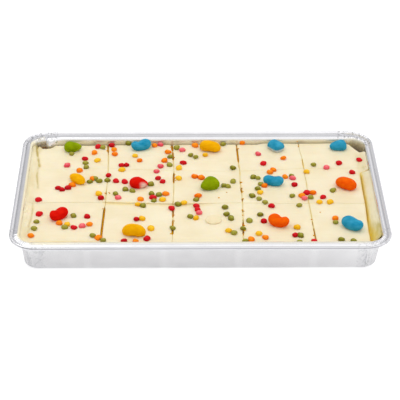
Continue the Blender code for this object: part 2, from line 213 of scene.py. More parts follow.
class Nodes:
    """Short hand for the nodes of a Principled material or of the world's background."""

    def __init__(self, owner, shader="Principled BSDF", coordinates="Object"):
        owner.use_nodes = True
        self.material = owner
        self.tree = owner.node_tree
        self.shader = self.tree.nodes[shader]
        self.place = self.add("TexCoord", {}).outputs[coordinates]

    def put(self, socket, value):
        """Links another node's output to a socket, or sets the socket's own value."""
        if isinstance(value, bpy.types.NodeSocket):
            self.tree.links.new(value, socket)
        elif socket.type == "RGBA":
            socket.default_value = (*value, 1)
        else:
            socket.default_value = value

    def add(self, kind, inputs, **settings):
        node = self.tree.nodes.new("ShaderNode" + kind)
        for key, value in settings.items():
            setattr(node, key, value)
        for key, value in inputs.items():
            self.put(node.inputs[key], value)
        return node

    def set(self, **values):
        """The shader's own sockets, with spaces written as underscores."""
        for key, value in values.items():
            self.put(self.shader.inputs[key.replace("_", " ")], value)

    def noise_at(self, place, scale, detail, rough):
        vector = self.add("Mapping", {"Vector": place, "Scale": scale}).outputs["Vector"]
        inputs = {"Vector": vector, "Scale": 1.0, "Detail": detail, "Roughness": rough}
        return self.add("TexNoise", inputs).outputs["Fac"]

    def noise(self, size_mm, detail, rough=0.5, stretch=(1, 1, 1)):
        """Noise whose features are about size_mm, longer by stretch along each axis."""
        scale = tuple(1 / (size_mm * MM) / s for s in stretch)
        return self.noise_at(self.place, scale, detail, rough)

    def sheet_noise(self, size_mm, length_mm):
        """Noise in drawn lines along the foil, read from its own "sheet" coordinates."""
        sheet = self.add("Attribute", {}, attribute_name="sheet").outputs["Vector"]
        return self.noise_at(sheet, (1 / (length_mm * MM), 1 / (size_mm * MM), 1), 2.0, 0.5)

    def cells(self, size_mm):
        inputs = {"Vector": self.place, "Scale": 1 / (size_mm * MM)}
        return self.add("TexVoronoi", inputs).outputs["Distance"]

    def attribute(self, name):
        return self.add("Attribute", {}, attribute_name=name).outputs["Fac"]

    def math(self, operation, first, second):
        return self.add("Math", {0: first, 1: second}, operation=operation).outputs[0]

    def ramp(self, factor, *stops):
        """A colour ramp of (position, colour) stops."""
        node = self.add("ValToRGB", {"Fac": factor})
        elements = node.color_ramp.elements
        while len(elements) < len(stops):
            elements.new(0.5)
        for element, (position, colour) in zip(elements, stops):
            element.position = position
            element.color = (*colour, 1)
        return node.outputs["Color"]

    def levels(self, factor, low, high, from_low=0.0, from_high=1.0):
        inputs = {"Value": factor, "To Min": low, "To Max": high}
        inputs.update({"From Min": from_low, "From Max": from_high})
        return self.add("MapRange", inputs).outputs["Result"]

    def mix(self, factor, first, second):
        """Mixes two colours, each a socket or a colour."""
        return self.add("Mix", {0: factor, 6: first, 7: second}, data_type="RGBA").outputs[2]

    def bumps(self, *layers):
        """Chains (height socket, depth in millimetres) layers into the shader's normal."""
        normal = {}
        for height, depth in layers:
            node = self.add("Bump", {"Distance": depth * MM, "Height": height, **normal})
            normal = {"Normal": node.outputs["Normal"]}
        self.set(**normal)


# Foil tray.

FOIL = 0.25
RIM_HEIGHT = 33.8
RIM_RADIUS = 26.0
WALL_RADIUS = 13.0
CORNER_SHARE = 1.1
# For the front, right, back and left: the rim's width from its outer edge, the rounded
# shoulder's from there to the wall, and how far the wall leans in down to its foot. The
# corners' rounding follows their means.
WIDTHS = ((9.8, 7.2, 11.0, 8.6), (3.0, 1.7, 4.0, 1.7), (3.6, 3.8, 2.8, 2.4))
MEAN_WIDTHS = (9.2, 2.6, 3.2)
SHOULDER_DROP = 3.0
RIM_FALL = 0.8
WALL_TOP = RIM_HEIGHT + RIM_FALL - SHOULDER_DROP
FOOT = 4.0
FOOT_REACH = 3.2
# The rolled bead with the groove behind it, as (inset, height over the rim), and the flat
# rim, as (share of its width, inset, height over the rim), from the outer edge inwards.
BEAD = (
    (3.4, -1.0), (2.3, -1.5), (1.1, -1.4), (0.25, -1.0), (0.0, -0.40), (0.35, 0.20), (0.75, 0.82),
    (1.3, 1.15), (2.2, 1.15), (2.9, 0.70), (3.3, 0.15), (3.7, -0.25), (4.2, -0.3), (4.7, -0.1),
    (5.3, 0.10),
)
BEAD_TOP_RING = 4
FLAT_RIM = ((0.35, 3.6, 0.38), (0.75, 1.3, 0.61))
# How the tray's underside runs to its middle, as shares of the way.
UNDERSIDE = (0.96, 0.86, 0.7, 0.5, 0.3, 0.12)
FLUTES = (-105.0, -35.0, 35.0, 105.0)
FLUTE_HALF = 3.6
FLUTE_DEPTH = 0.7
SIDE_STEPS = (150, 84, 150, 84)
CORNER_STEPS = 120
# Pleats round each corner: how many, and their depth on the wall, the flat rim and the bead.
PLEATS = 15
WALL_PLEAT, RIM_PLEAT, BEAD_PLEAT = 0.75, 0.95, 0.35
FRONT_PLEATS = 0.45
DENT_CELLS = ((24, 15), (8, 7), (31, 19))
CORNER_DENTS = 0.35
RIM_SWAY = 0.16
GROOVE = 4.5
# Foil colours inside and outside: dark, light, and a bright painted reflection. The outside copy is
# darker than the inside as painted shade.
FOIL_INSIDE = ((0.745, 0.742, 0.755), (0.785, 0.782, 0.795), (0.765, 0.762, 0.775))
SHADED_FOIL_OUTSIDE = ((0.590, 0.585, 0.590), (0.630, 0.626, 0.630), (0.800, 0.798, 0.800))
# Painted shade in the groove behind the bead, on the front bead, on the rim and in the crimps.
FOIL_SHADE = (0.42, 0.42, 0.44)
# Painted shade in the folds of the crumpled corners.
FOLD_SHADE = (0.33, 0.33, 0.33)
# Wiped icing on the foil, and the icing's painted reflection on the back wall.
CREAM_AND_ITS_REFLECTION = (0.86, 0.78, 0.54)
# The cake's painted reflection by height, darker lower down as painted shade.
CAKE_REFLECTION_AND_SHADE = ((0.0, (0.30, 0.21, 0.06)), (0.70, (0.62, 0.50, 0.22)), (1.0, (0.82, 0.73, 0.48)))
# Behind the hole at the back left the foil is pushed in: how far, and its middle and half.
FOIL_BULGE = 4.5
BULGE_PLACE = (-153.0, 8.0)
# Where the foil shows the cake as a painted reflection, with painted shade: inside the right
# wall and in the back right corner.
REFLECTION_RIGHT = ((RIM_X - 16.5, RIM_X - 8.5, 0.8), (-100, 28, 2))
REFLECTION_CORNER = ((RIM_X - 27, RIM_X, 1.5), (RIM_Y - 33, RIM_Y, 2))
# How far from the rim's corners the foil is crumpled and crimped.
CRUMPLED = 34
CRIMPED = 32
END_OF_FRONT = 22


def lean_share(height):
    """How much of its lean the wall has taken at this height."""
    return (WALL_TOP - height) / (WALL_TOP - FOOT)


def tray_profile():
    """The foil's rings from the rolled edge to the foot, each as its shares of the flat rim,
    of the shoulder and of the wall's lean, its further inset and its height."""
    profile = [((0, 0, 0), inset, RIM_HEIGHT + up) for inset, up in BEAD]
    profile += [((share, 0, 0), inset, RIM_HEIGHT + up) for share, inset, up in FLAT_RIM]
    for angle in np.linspace(0, math.pi / 2, 9):
        height = RIM_HEIGHT + RIM_FALL - SHOULDER_DROP * (1 - math.cos(angle))
        profile.append(((1, math.sin(angle), 0), 0, height))
    for height in np.linspace(WALL_TOP, FOOT, 15)[1:]:
        profile.append(((1, 1, lean_share(height)), 0, height))
    for angle in np.linspace(0, math.pi / 2, 6)[1:]:
        inset = FOOT_REACH * (1 - math.cos(angle))
        profile.append(((1, 1, 1), inset, FOOT * (1 - math.sin(angle))))
    return profile


def tray_reach(shares, inset):
    """How far a ring reaches to the front, right, back and left."""
    reach = []
    for half, *widths in zip((RIM_Y, RIM_X, RIM_Y, RIM_X), *WIDTHS):
        reach.append(half - inset - sum(share * width for share, width in zip(shares, widths)))
    return reach


def rounded_outline(reach, radius):
    """A rounded rectangle inside the four reaches, from the front left counter-clockwise.
    Gives points, outward normals, side numbers, places along the side, and how far round its
    corner each point is, or -1 beside the corners."""
    front, right, back, left = reach
    low, high = radius - front, back - radius
    middles = ((radius - left, low), (right - radius, low), (right - radius, high), (radius - left, high))
    rows = []
    for side, steps in enumerate(SIDE_STEPS):
        start, stop = np.array(middles[side]), np.array(middles[(side + 1) % 4])
        turn = (side - 1) * math.pi / 2
        normal = np.array((math.cos(turn), math.sin(turn)))
        for k in range(steps):
            centre = start + (stop - start) * (k + 0.5) / steps
            rows.append((*(centre + normal * radius), *normal, side, centre[side % 2], -1.0))
        for k in range(CORNER_STEPS):
            share = (k + 0.5) / CORNER_STEPS
            angle = turn + share * math.pi / 2
            normal = np.array((math.cos(angle), math.sin(angle)))
            rows.append((*(stop + normal * radius), *normal, side, 0.0, share))
    return np.array(rows)


def within_foil(points, clear=0.35):
    """The points, with those below the wall's top kept inside the tray's walls and corners."""
    x, y, z = points.T
    front, right, back, left = tray_reach((1, 1, np.clip(lean_share(z), 0, 1)), clear)
    radius = WALL_RADIUS - clear
    centre_x = np.clip(x, radius - left, right - radius)
    centre_y = np.clip(y, radius - front, back - radius)
    away = np.hypot(x - centre_x, y - centre_y)
    share = np.where(z < WALL_TOP - 1.0, radius / np.maximum(away, radius), 1.0)
    return np.column_stack((centre_x + (x - centre_x) * share, centre_y + (y - centre_y) * share, z))


def foil_dents(along, height):
    """Soft dents and a few sharper creases, outwards in millimetres."""
    soft, small, folds = (noise(along, height, *cell, SEED + k) for k, cell in enumerate(DENT_CELLS))
    return 0.13 * soft + 0.03 * small + 0.08 * (0.5 - np.abs(folds))


def tray_ring(shares, inset, height):
    """One ring of the foil with its flutes, pleats and dents."""
    mean_inset = inset + sum(share * mean for share, mean in zip(shares, MEAN_WIDTHS))
    radius = max(RIM_RADIUS - CORNER_SHARE * mean_inset, WALL_RADIUS)
    x, y, nx, ny, side, along, share = rounded_outline(tray_reach(shares, inset), radius).T
    on_bead, past_rim = shares[0] < 1, shares[0] == 1
    on_wall = between(height, 2.5, WALL_TOP + 1.2, 1.0) * past_rim
    on_flange = between(mean_inset, 3.2, 11.4, 0.7) * (height > RIM_HEIGHT - 0.8)
    corner = share >= 0
    flute = sum(bump(along, place, FLUTE_HALF, 4) for place in FLUTES) * ~corner
    out = FLUTE_DEPTH * flute * on_wall * between(height, 3.5, WALL_TOP, 1.5)
    arc = share * RIM_RADIUS * 1.57 + 60 * side
    dents = foil_dents(along + arc + 400 * side, height)
    out += np.where(corner, CORNER_DENTS, 1.0) * on_wall * dents
    phase = 2 * math.pi * (share * PLEATS + 0.55 * noise(arc, side, 4.0, 1.0, 7))
    strength = 0.50 + 0.50 * noise(arc, height, 3.1, 11.0, 8)
    window = np.sin(np.clip(share, 0, 1) * math.pi) ** 0.35
    pleat = corner * window * strength * (0.5 + 0.5 * np.sin(phase)) ** 1.4
    low = np.maximum(0.35 + 0.65 * between(height, -10, 17, 6), side == 1)
    out -= WALL_PLEAT * pleat * on_wall * low
    pushed = (side == 2) * ~corner * bump(along, *BULGE_PLACE) * past_rim
    out -= FOIL_BULGE * pushed * between(height, 10, 33, 4)
    pleat = pleat * np.where(y > 0, 1.0, FRONT_PLEATS)
    up = -RIM_PLEAT * pleat * on_flange
    up = up - BEAD_PLEAT * pleat * (height > RIM_HEIGHT + 0.4) * (mean_inset < 3.2)
    sway = RIM_SWAY * noise(along + arc + 300 * side, 0, 38, 1, 9)
    up = up + sway * (height > RIM_HEIGHT - 2) * on_bead
    return np.column_stack((x + nx * out, y + ny * out, height + up))


def painted_cake_reflection(x, y, z):
    """How strongly the foil shows the cake as a painted reflection with painted shade: strongly in
    the back right corner, faintly beside it.
    """
    right = 0.35 * patch(x, y, *REFLECTION_RIGHT) * rise(z, 31.8, 26.8)
    corner = 0.85 * patch(x, y, *REFLECTION_CORNER) * rise(z, 34.2, 32.7)
    return highest(np.maximum(right, corner) * (0.72 + 0.28 * noise(x + y, z, 2.2, 9.0, 31)))


def cream_wiped_and_reflected(x, y, z, inner):
    """How much icing was wiped thinly onto the foil: on the front rim's inner edge, more at
    the left, and on the shoulder at the left; and how strongly the back wall shows the icing
    as a painted reflection. inner marks the shoulder and the wall."""
    high = rise(z, 28, 30)
    wiped = 0.8 + 1.6 * rise(-x, 105, 130)
    front = 0.85 * between(-y, RIM_Y - 17, RIM_Y - 9.6 + wiped, 0.8) * high
    front = front * between(x, END_OF_FRONT - RIM_X, RIM_X - END_OF_FRONT, 3)
    back = between(y, RIM_Y - 19, RIM_Y - 13, 0.8) * rise(z, 33.4, 32.8) * (x < RIM_X - 27)
    back = back * (0.75 + 0.20 * rise(x, 60, 75)) * (1 - 0.7 * bump(x, BACK_HOLE[0], 14, 4))
    left = 0.92 * inner * high * (x < END_OF_FRONT - RIM_X) * (1 - 0.7 * rise(y, RIM_Y - 22, RIM_Y - 17))
    return highest(np.maximum.reduce((front, back, left)) * (0.8 + 0.2 * noise(x, z, 11, 4, 34)))


def shining(x, y):
    """How much brighter the wall's outside is painted, as a painted reflection: in the flutes and
    towards the right.
    """
    flutes = sum(bump(x, place, FLUTE_HALF, 4) for place in FLUTES) * (y < 0)
    return highest(0.16 * flutes + 0.34 * rise(x, 75, 165) + 0.03)


def painted_shade_on_foil(x, y, z, profile, count):
    """Painted shade on the foil: in the groove behind the bead, on the front bead's outer side,
    a little on the rim's inner half, and in the crimps of the front corners' walls."""
    shade = np.zeros(len(x))
    sides = rise(RIM_X - np.abs(x), 10, 18)
    fronts = rise(-y, RIM_Y - 13, RIM_Y - 10) * sides
    backs = rise(y, RIM_Y - 17, RIM_Y - 14) * sides
    for k, (shares, inset, height) in enumerate(profile):
        ring = slice(k * count, (k + 1) * count)
        front = fronts[ring]
        if shares[0] == 0:
            bead = between(inset, -1.0, 3.1, 0.3) * (0.38 + 0.38 * bump(height, RIM_HEIGHT + 0.2, 0.35))
            shade[ring] = bump(inset, GROOVE, 0.95) * (0.78 - 0.66 * front) + bead * front
        elif shares[0] > FLAT_RIM[0][0] - 0.05:
            shade[ring] = 0.20 * (front + backs[ring])
    near = (np.abs(x) > RIM_X - CRIMPED) & (y < 30 - RIM_Y) & (z < RIM_HEIGHT - 2)
    angle = np.arctan2(RIM_RADIUS - RIM_Y - y, RIM_RADIUS - RIM_X + np.abs(x))
    return highest(shade + near * (0.15 + 0.65 * np.clip(noise(angle * 30, z + x, 1.4, 40, 36), 0, 1)))


def make_tray(inside, outside):
    profile = tray_profile()
    rings = [tray_ring(*place) for place in profile]
    foot = rings[-1]
    middle = foot.mean(0)
    for share in UNDERSIDE:
        ring = middle + (foot - middle) * share
        ring[:, 2] = 0.12 + 0.10 * noise(ring[:, 0], ring[:, 1], 31, 27, 5)
        rings.append(ring)
    count = len(foot)
    faces = ring_faces(len(rings), count)
    faces.append(tuple(reversed(range((len(rings) - 1) * count, len(rings) * count))))
    points = np.concatenate(rings)
    tray = new_object("foil_tray", points, faces, outside)
    outer = rings[BEAD_TOP_RING]
    run = np.cumsum(np.linalg.norm(np.diff(outer, axis=0, append=outer[:1]), axis=1))
    steps = [np.linalg.norm((b - a)[count // 5]) for a, b in zip(rings, rings[1:])]
    sheet = np.array([(s, t, 0) for t in np.cumsum([0.0] + steps) for s in run]) * MM
    layer = tray.data.attributes.new("sheet", "FLOAT_VECTOR", "POINT")
    layer.data.foreach_set("vector", sheet.astype(np.float32).ravel())
    x, y, z = points.T
    inner = np.arange(len(points)) >= count * sum(shares[0] < 1 for shares, *_ in profile)
    near_corner = (np.abs(x) > RIM_X - CRUMPLED) & (np.abs(y) > RIM_Y - CRUMPLED)
    set_attribute(tray, "smear", painted_cake_reflection(x, y, z))
    set_attribute(tray, "cream", cream_wiped_and_reflected(x, y, z, inner))
    set_attribute(tray, "shine", shining(x, y))
    set_attribute(tray, "crumple", near_corner * np.where(y > 0, 1.0, FRONT_PLEATS))
    set_attribute(tray, "groove", painted_shade_on_foil(x, y, z, profile, count))
    tray.data.materials.append(inside)
    solid = tray.modifiers.new("foil", "SOLIDIFY")
    solid.thickness = FOIL * MM
    solid.offset = -1
    solid.material_offset = 1
    return tray


def foil_with_wipes_and_reflections(n, foil):
    """The foil's colour with wiped icing, the icing's painted reflection and the cake's painted
    reflection, which is darker lower down as painted shade. These also dull its metal.
    """
    smear, cream = n.attribute("smear"), n.attribute("cream")
    height = n.add("SeparateXYZ", {"Vector": n.place}).outputs["Z"]
    cake = n.ramp(n.levels(height, 0, 1, 17 * MM, 32 * MM), *CAKE_REFLECTION_AND_SHADE)
    n.set(Metallic=n.levels(n.math("MAXIMUM", smear, cream), 1.0, 0.2))
    return n.mix(smear, n.mix(cream, foil, CREAM_AND_ITS_REFLECTION), cake)


def foil_material(name, colours, holds_cake):
    """Bright drawn foil, with fine lines along its rim, painted reflection bands, painted shade in
    the fold line behind the bead and in the folds of the soft crumpling at the corners and,
    inside, wiped icing and painted reflections of the cake and icing where the attributes say so."""
    dark, light, bright = colours
    n = Nodes(bpy.data.materials.new(name))
    foil = n.ramp(n.noise(14, 2), (0.30, dark), (0.70, light))
    # Painted reflection: brighter bands in the flutes and towards the right.
    foil = n.mix(n.attribute("shine"), foil, bright)
    # Painted shade in the groove, on the front bead, on the rim and in the front corners' crimps.
    foil = n.mix(n.attribute("groove"), foil, FOIL_SHADE)
    # Painted shade in the crumpled folds near the corners.
    folds = n.levels(n.noise(2.6, 3, 0.6), 0.0, 0.8, 0.53, 0.62)
    foil = n.mix(n.math("MULTIPLY", folds, n.attribute("crumple")), foil, FOLD_SHADE)
    n.set(Metallic=1.0, Roughness=n.levels(n.noise(3.5, 3, 0.6), 0.17, 0.26, 0.3, 0.7))
    n.set(Base_Color=foil_with_wipes_and_reflections(n, foil) if holds_cake else foil)
    crumple = n.math("MULTIPLY", n.noise(3.6, 3, 0.55), n.attribute("crumple"))
    n.bumps((n.sheet_noise(7, 55), 0.06), (n.sheet_noise(2.4, 40), 0.016), (crumple, 0.45))
    return n.material


# Icing.

# The edges' rounding: where a cut is shut, how much more where it stands open, and along the
# cake's front, back and right edges.
LIP = 0.42
LIP_OPEN = 0.45
LIP_FRONT, LIP_BACK, LIP_RIGHT = 2.2, 2.4, 1.6
CUT_CLOSED = 0.04
SPONGE_GAP = 0.03
# Where the cuts across stand open, by line: (from, to, width), front to back.
OPEN_ACROSS = {
    1: ((-82, -30, 1.9), (-22, -18, 0.25), (-5, -2, 1.1), (0, 2, 0.3), (70, 73, 0.6), (74, 92, 1.5)),
    2: (
        (-74, -66, 1.7), (-61, -51, 1.3), (-45, -34, 1.4), (-22, -18, 0.5), (15, 33, 1.5),
        (59, 74, 1.6), (77, 96, 1.8),
    ),
    3: (
        (-76, -69, 1.3), (-63, -55, 1.5), (-53, -51, 0.7), (-37, -35, 1.3), (-18, -14, 1.3),
        (-2, 6, 1.4), (15, 17, 1.3), (43, 49, 0.35), (55, 82, 1.6), (82, 90, 0.9),
    ),
    4: ((-86, -66, 1.0), (-62, -54, 0.5), (46, 60, 0.3), (84, 92, 0.4)),
}
# How much more or less golden the icing is beside stretches of the cuts: (from, to, share).
MORE_GOLD = {
    2: ((-86, -74, -0.40), (-17, 12, -0.12)),
    4: ((43, 61, 0.35), (62, 82, -0.30)),
}
# Creases where the icing was spread out to the foil on the left: places (x, y) along each,
# its half width and its depth.
CREASES = (
    (((-163.0, 98), (-163.4, 79), (-161.8, 69), (-160.7, 62), (-159.2, 53), (-158.1, 45)), 1.3, 2.3),
    (((-159.2, 48), (-159.8, 29.6), (-158.1, 16.3), (-156.8, 6.0)), 1.1, 1.3),
    (((-160.0, -16), (-159.1, -35), (-160.1, -57), (-160.7, -76)), 1.1, 1.0),
    (((-160.0, 80), (-152.0, 84.5), (-146.0, 83.5)), 0.8, 1.0),
)
# The spread icing's waves, broad to fine: depth, and length across and along the view.
WAVES = ((0.42, 52, 38), (0.20, 19, 14), (0.10, 48, 3.4), (0.05, 20, 1.6))
# The torn place at the left, the milder one in front of it and the ridges behind them.
TORN = (-48, -25, 2.0)
TORN_FRONT = (-68, -48, 2.0)
RIDGES = (-20, 92, 4)
ICING_GRID = 96
ICING_LAYERS = 6
# Painted shade on the icing: along its edges and in its creases.
EDGE_SHADE = 0.62
CREASE_SHADE = 0.74
ICING_COLOURS = ((0.32, (0.825, 0.715, 0.470)), (0.68, (0.878, 0.785, 0.560)))
ICING_STROKES = (0.91, 0.830, 0.62)
# The colour of the icing's painted shade, then the sponge crumb's gold beside the cuts.
SHADE_ON_ICING = (0.58, 0.47, 0.17)
ICING_GOLD = (0.79, 0.53, 0.025)


def gap_at(openings, place):
    """The cut's width at a place along it."""
    width = np.full(np.shape(place), CUT_CLOSED)
    for low, high, wide in openings:
        width = np.maximum(width, CUT_CLOSED + (wide - CUT_CLOSED) * between(place, low, high, 1.3))
    return width


def sponge_gap(openings, place):
    """The sponge stays shut under the cuts, so the icing's gaps end on golden crumb."""
    return np.full(np.shape(place), SPONGE_GAP)


def line_across(line, y):
    """x of a line across the tray at y, with the knife's slight wander."""
    if line == COLUMNS:
        places, edge = zip(*RIGHT_EDGE)
        return np.interp(y, places, edge) + 0.2 * noise(y, line, 9, 1, 40)
    at_y = [LINES_ALONG[j][line] for j in range(ROWS + 1)]
    return np.interp(y, at_y, LINES_ACROSS[line]) + 0.35 * noise(y, line, 17, 1, 40 + line)


def line_along(row_line, x):
    """y of a line along the tray at x."""
    at_x = [LINES_ACROSS[i][row_line] for i in range(COLUMNS + 1)]
    y = np.interp(x, at_x, LINES_ALONG[row_line]) + 0.35 * noise(x, row_line, 19, 1, 50 + row_line)
    if row_line == ROWS:
        middle, half, depth = BACK_HOLE
        y = y - depth * bump(x, middle, half, 4) * (1 + 0.10 * noise(x, 0, 2.2, 1, 57))
    return y


def near_cuts(x, y, half, widths=False):
    """1 on the cuts, falling to 0 beside them, or times the cuts' widths."""
    near = np.zeros(np.shape(x))
    for line in range(1, COLUMNS):
        width = gap_at(OPEN_ACROSS[line], y) if widths else 1
        near = np.maximum(near, bump(x, line_across(line, y), half) * width)
    for row_line in range(1, ROWS):
        width = CUT_CLOSED if widths else 1
        near = np.maximum(near, bump(y, line_along(row_line, x), half) * width)
    return near


def gold_and_shade_by_cuts(x, y, depth):
    """How golden the icing is beside a cut and at the right edge: the sponge crumb's gold with
    painted shade, faint where it closed and strong where it gapes, and a painted shadow line
    under the front long cut's raised lip and along the front edge at the left. depth is 0 on
    top and grows to 1 down the piece's sides."""
    side = depth > 0
    golds_and_shades = [0.25 * np.clip(depth * 3, 0, 1)]
    half = 0.8 + 0.5 * side
    stronger = np.where(side, 1.3, 1.0)
    for line, openings in OPEN_ACROSS.items():
        level = 0.42 + 0.22 * noise(y, line, 7, 1, 63) + 0.35 * gap_at(openings, y)
        level += sum(more * between(y, low, high, 1.5) for low, high, more in MORE_GOLD.get(line, ()))
        golds_and_shades.append(bump(x, line_across(line, y), half) * np.clip(level, 0, 0.9) * stronger)
    for row_line in range(1, ROWS):
        near = bump(y, line_along(row_line, x), half)
        golds_and_shades.append(near * (0.05 + 0.09 * (x > -92)) * stronger)
    # Painted shadow line under the raised lip of the front long cut.
    golden = (0.22 + 0.20 * between(x, -92, -62, 3)) * between(x, -92, 9, 3)
    golds_and_shades.append(golden * bump(y, line_along(1, x) - 1.8, 2.3))
    edge = bump(x, line_across(COLUMNS, y), 1.2 + side) * between(y, -92, 33, 3)
    golds_and_shades.append(edge * np.where(side, 1.0, 0.50))
    # Painted shadow line along the front edge at the left.
    golds_and_shades.append(0.35 * bump(y, -87.6, 0.9) * between(x, -152, -92, 3) * ~side)
    return highest(*golds_and_shades)


def icing_height(x, y):
    """The icing's spread surface, with broad waves and fine strokes along the tray, rising to
    the foil on the left, on the right and at the back right."""
    waves = (deep * noise(x, y, *cell, k + 1) for k, (deep, *cell) in enumerate(WAVES))
    left, right = rise(-x, 160.0, 167.0) ** 1.6, rise(x, 162.5, 167.5) ** 1.5
    back = (rise(y, 84.0, 89.0) * between(x, 62, 152, 4)) ** 1.4
    return sum(waves, ICING_TOP) + 2.3 * left + 2.6 * right + 2.0 * back


def crease_depth(x, y):
    """How deep the creases cut the surface, and, scaled, their share of the painted shade."""
    depth = np.zeros(np.shape(x))
    wander = 0.7 * noise(x + y, 0, 7, 1, 62)
    wobble = 0.75 + 0.45 * noise(x, y, 5, 5, 61)
    for places, half, deep in CREASES:
        xs, ys = np.array(places, float).T
        if ys[0] > ys[-1] and np.ptp(ys) > np.ptp(xs):
            away = x - np.interp(y, ys[::-1], xs[::-1])
            ends = between(y, ys.min(), ys.max(), 2.5)
        else:
            away = y - np.interp(x, xs, ys)
            ends = between(x, xs.min(), xs.max(), 2.0)
        depth = np.maximum(depth, deep * ends * wobble * bump(np.abs(away) + wander, 0, half))
    return depth


def rough_patch(x, y):
    """The torn, lumpy place in the icing at the left, and a milder one in front of it."""
    torn = bump(x, -164.5, 4.0) * between(y, *TORN)
    front = bump(x, -164.0, 4.5) * between(y, *TORN_FRONT)
    lumps = noise(x, y, 2.4, 2.8, 71) + 0.5 * noise(x, y, 1.2, 1.4, 72)
    ridges = bump(x, -164.5, 3.0) * between(y, *RIDGES) * noise(x, y, 2.0, 9.0, 73)
    return torn * 1.1 * lumps + front * 0.45 * lumps + 0.30 * ridges


def clustered(count, crowd):
    """count shares from 0 to 1, closer together at both ends."""
    even = np.linspace(0, 1, count)
    return (1 - crowd) * even + crowd * 0.5 * (1 - np.cos(math.pi * even))


def corner_warp(x, y, row, column):
    """Rounds the cake's outer corners."""
    for (row_line, line), (wide, deep) in CAKE_CORNERS.items():
        if row_line not in (row, row + 1) or line not in (column, column + 1):
            continue
        sx = -1 if line == 0 else 1
        sy = -1 if row_line == 0 else 1
        corner_x = line_across(line, LINES_ALONG[row_line][line])
        corner_y = line_along(row_line, LINES_ACROSS[line][row_line])
        p = np.clip(1 - (corner_x - x) * sx / wide, 0, 1)
        q = np.clip(1 - (corner_y - y) * sy / deep, 0, 1)
        x = x + sx * wide * p * (np.sqrt(1 - q * q / 2) - 1)
        y = y + sy * deep * q * (np.sqrt(1 - p * p / 2) - 1)
    return x, y


def portion_grid(row, column, count, crowd, gap=gap_at):
    """x, y and the distance to the portion's edge on a grid that fills the portion."""
    u, v = np.meshgrid(clustered(count, crowd), clustered(count, crowd))
    x0, x1 = LINES_ACROSS[column][row], LINES_ACROSS[column + 1][row]
    y0, y1 = LINES_ALONG[row][column], LINES_ALONG[row + 1][column]
    x, y = x0 + (x1 - x0) * u, y0 + (y1 - y0) * v
    for _ in range(5):
        left, right = line_across(column, y), line_across(column + 1, y)
        front, back = line_along(row, x), line_along(row + 1, x)
        if column > 0:
            left = left + gap(OPEN_ACROSS[column], y) / 2
        if column + 1 < COLUMNS:
            right = right - gap(OPEN_ACROSS[column + 1], y) / 2
        front = front + (row > 0) * gap((), x) / 2
        back = back - (row + 1 < ROWS) * gap((), x) / 2
        x, y = left + (right - left) * u, front + (back - front) * v
    edge = np.minimum(np.minimum(x - left, right - x), np.minimum(y - front, back - y))
    return (*corner_warp(x, y, row, column), edge)


def lip_radius(row, column, x, y):
    """The edge's rounding: small where the cut has closed, larger where it stands open."""
    radius = LIP + LIP_OPEN * near_cuts(x, y, 3.0, True)
    if row == 0:
        radius = np.maximum(radius, LIP_FRONT * bump(y, LINES_ALONG[0][column], 3.5))
    if row == ROWS - 1:
        radius = np.maximum(radius, LIP_BACK * bump(y, LINES_ALONG[ROWS][column], 3.5))
    if column == COLUMNS - 1:
        radius = np.maximum(radius, LIP_RIGHT * bump(x, line_across(COLUMNS, y), 3.5))
    return radius


def icing_surface(row, column, x, y, edge):
    radius = lip_radius(row, column, x, y)
    inside = np.clip(edge, 0, radius)
    drop = radius - np.sqrt(np.maximum(radius**2 - (radius - inside) ** 2, 0))
    if column == 0:
        drop = drop * rise(x, -165.2, -162.2)
    z = icing_height(x, y) - crease_depth(x, y) + rough_patch(x, y) - drop
    z = z + random.Random(SEED + 7 * row + column).uniform(-0.12, 0.12)
    if row == 1:
        lip = bump(y, line_along(1, x) + 1.3, 1.5) * between(x, -160, 7, 6)
        z = z + lip * np.where(x < -91, 0.30, 0.75)
    if row == 0:
        z = z - 0.40 * bump(y, line_along(1, x), 5) * between(x, -90, 8, 6)
    return z


def grid_solid(name, x, y, z, floor, layers, roughness, seed, material):
    """A closed piece: a grid on top, sides with slight unevenness and a flat underside."""
    points = [flat(x, y, z)]
    faces = grid_faces(*x.shape)
    previous = border(*x.shape)
    top = points[0][previous]
    inward = top.mean(0)[:2] - top[:, :2]
    inward /= np.linalg.norm(inward, axis=1, keepdims=True)
    girth = np.cumsum(np.r_[0, np.linalg.norm(np.diff(top[:, :2], axis=0), axis=1)])
    count, first = len(top), x.size
    for k in range(1, layers + 1):
        ring = top.copy()
        ring[:, 2] = top[:, 2] + (floor - top[:, 2]) * (k / layers)
        rough = 0.5 + 0.5 * noise(girth, ring[:, 2], 2.2, 1.8, seed)
        ring[:, :2] += inward * (roughness * rough)[:, None]
        points.append(ring)
        current = list(range(first, first + count))
        faces += band(current, previous)
        previous, first = current, first + count
    faces.append(tuple(previous[::-1]))
    return new_object(name, np.concatenate(points), faces, material)


def mottled(x, y, cell_x, cell_y, seed):
    return 0.6 + 0.4 * noise(x, y, cell_x, cell_y, seed)


def olive_edge_shade(x, y):
    """Painted olive shade on the icing: in patches along its left edge by the foil, with the
    torn place in the middle paler, along the back edge, beside the crack at the back right and
    along the front edge at the left."""
    left = bump(x, -163.5, 5.5, 4) * mottled(x, y, 3.5, 9, 91)
    left = left * (0.55 + 0.45 * between(y, 58, 95, 5)) * (1 - 0.8 * between(y, -48, -24, 3))
    back = 0.8 * bump(y, 90.0, 3.5) * between(x, -140, 150, 4) * mottled(x, 0, 9, 1, 92)
    right = 0.9 * bump(x, 162.3, 4.4, 4) * between(y, 22, 70, 4) * mottled(x, y, 3, 8, 93)
    front = 0.5 * bump(y, -88.5, 2.2) * between(x, -160, -95, 4)
    return EDGE_SHADE * np.maximum.reduce((left, back, right, front))


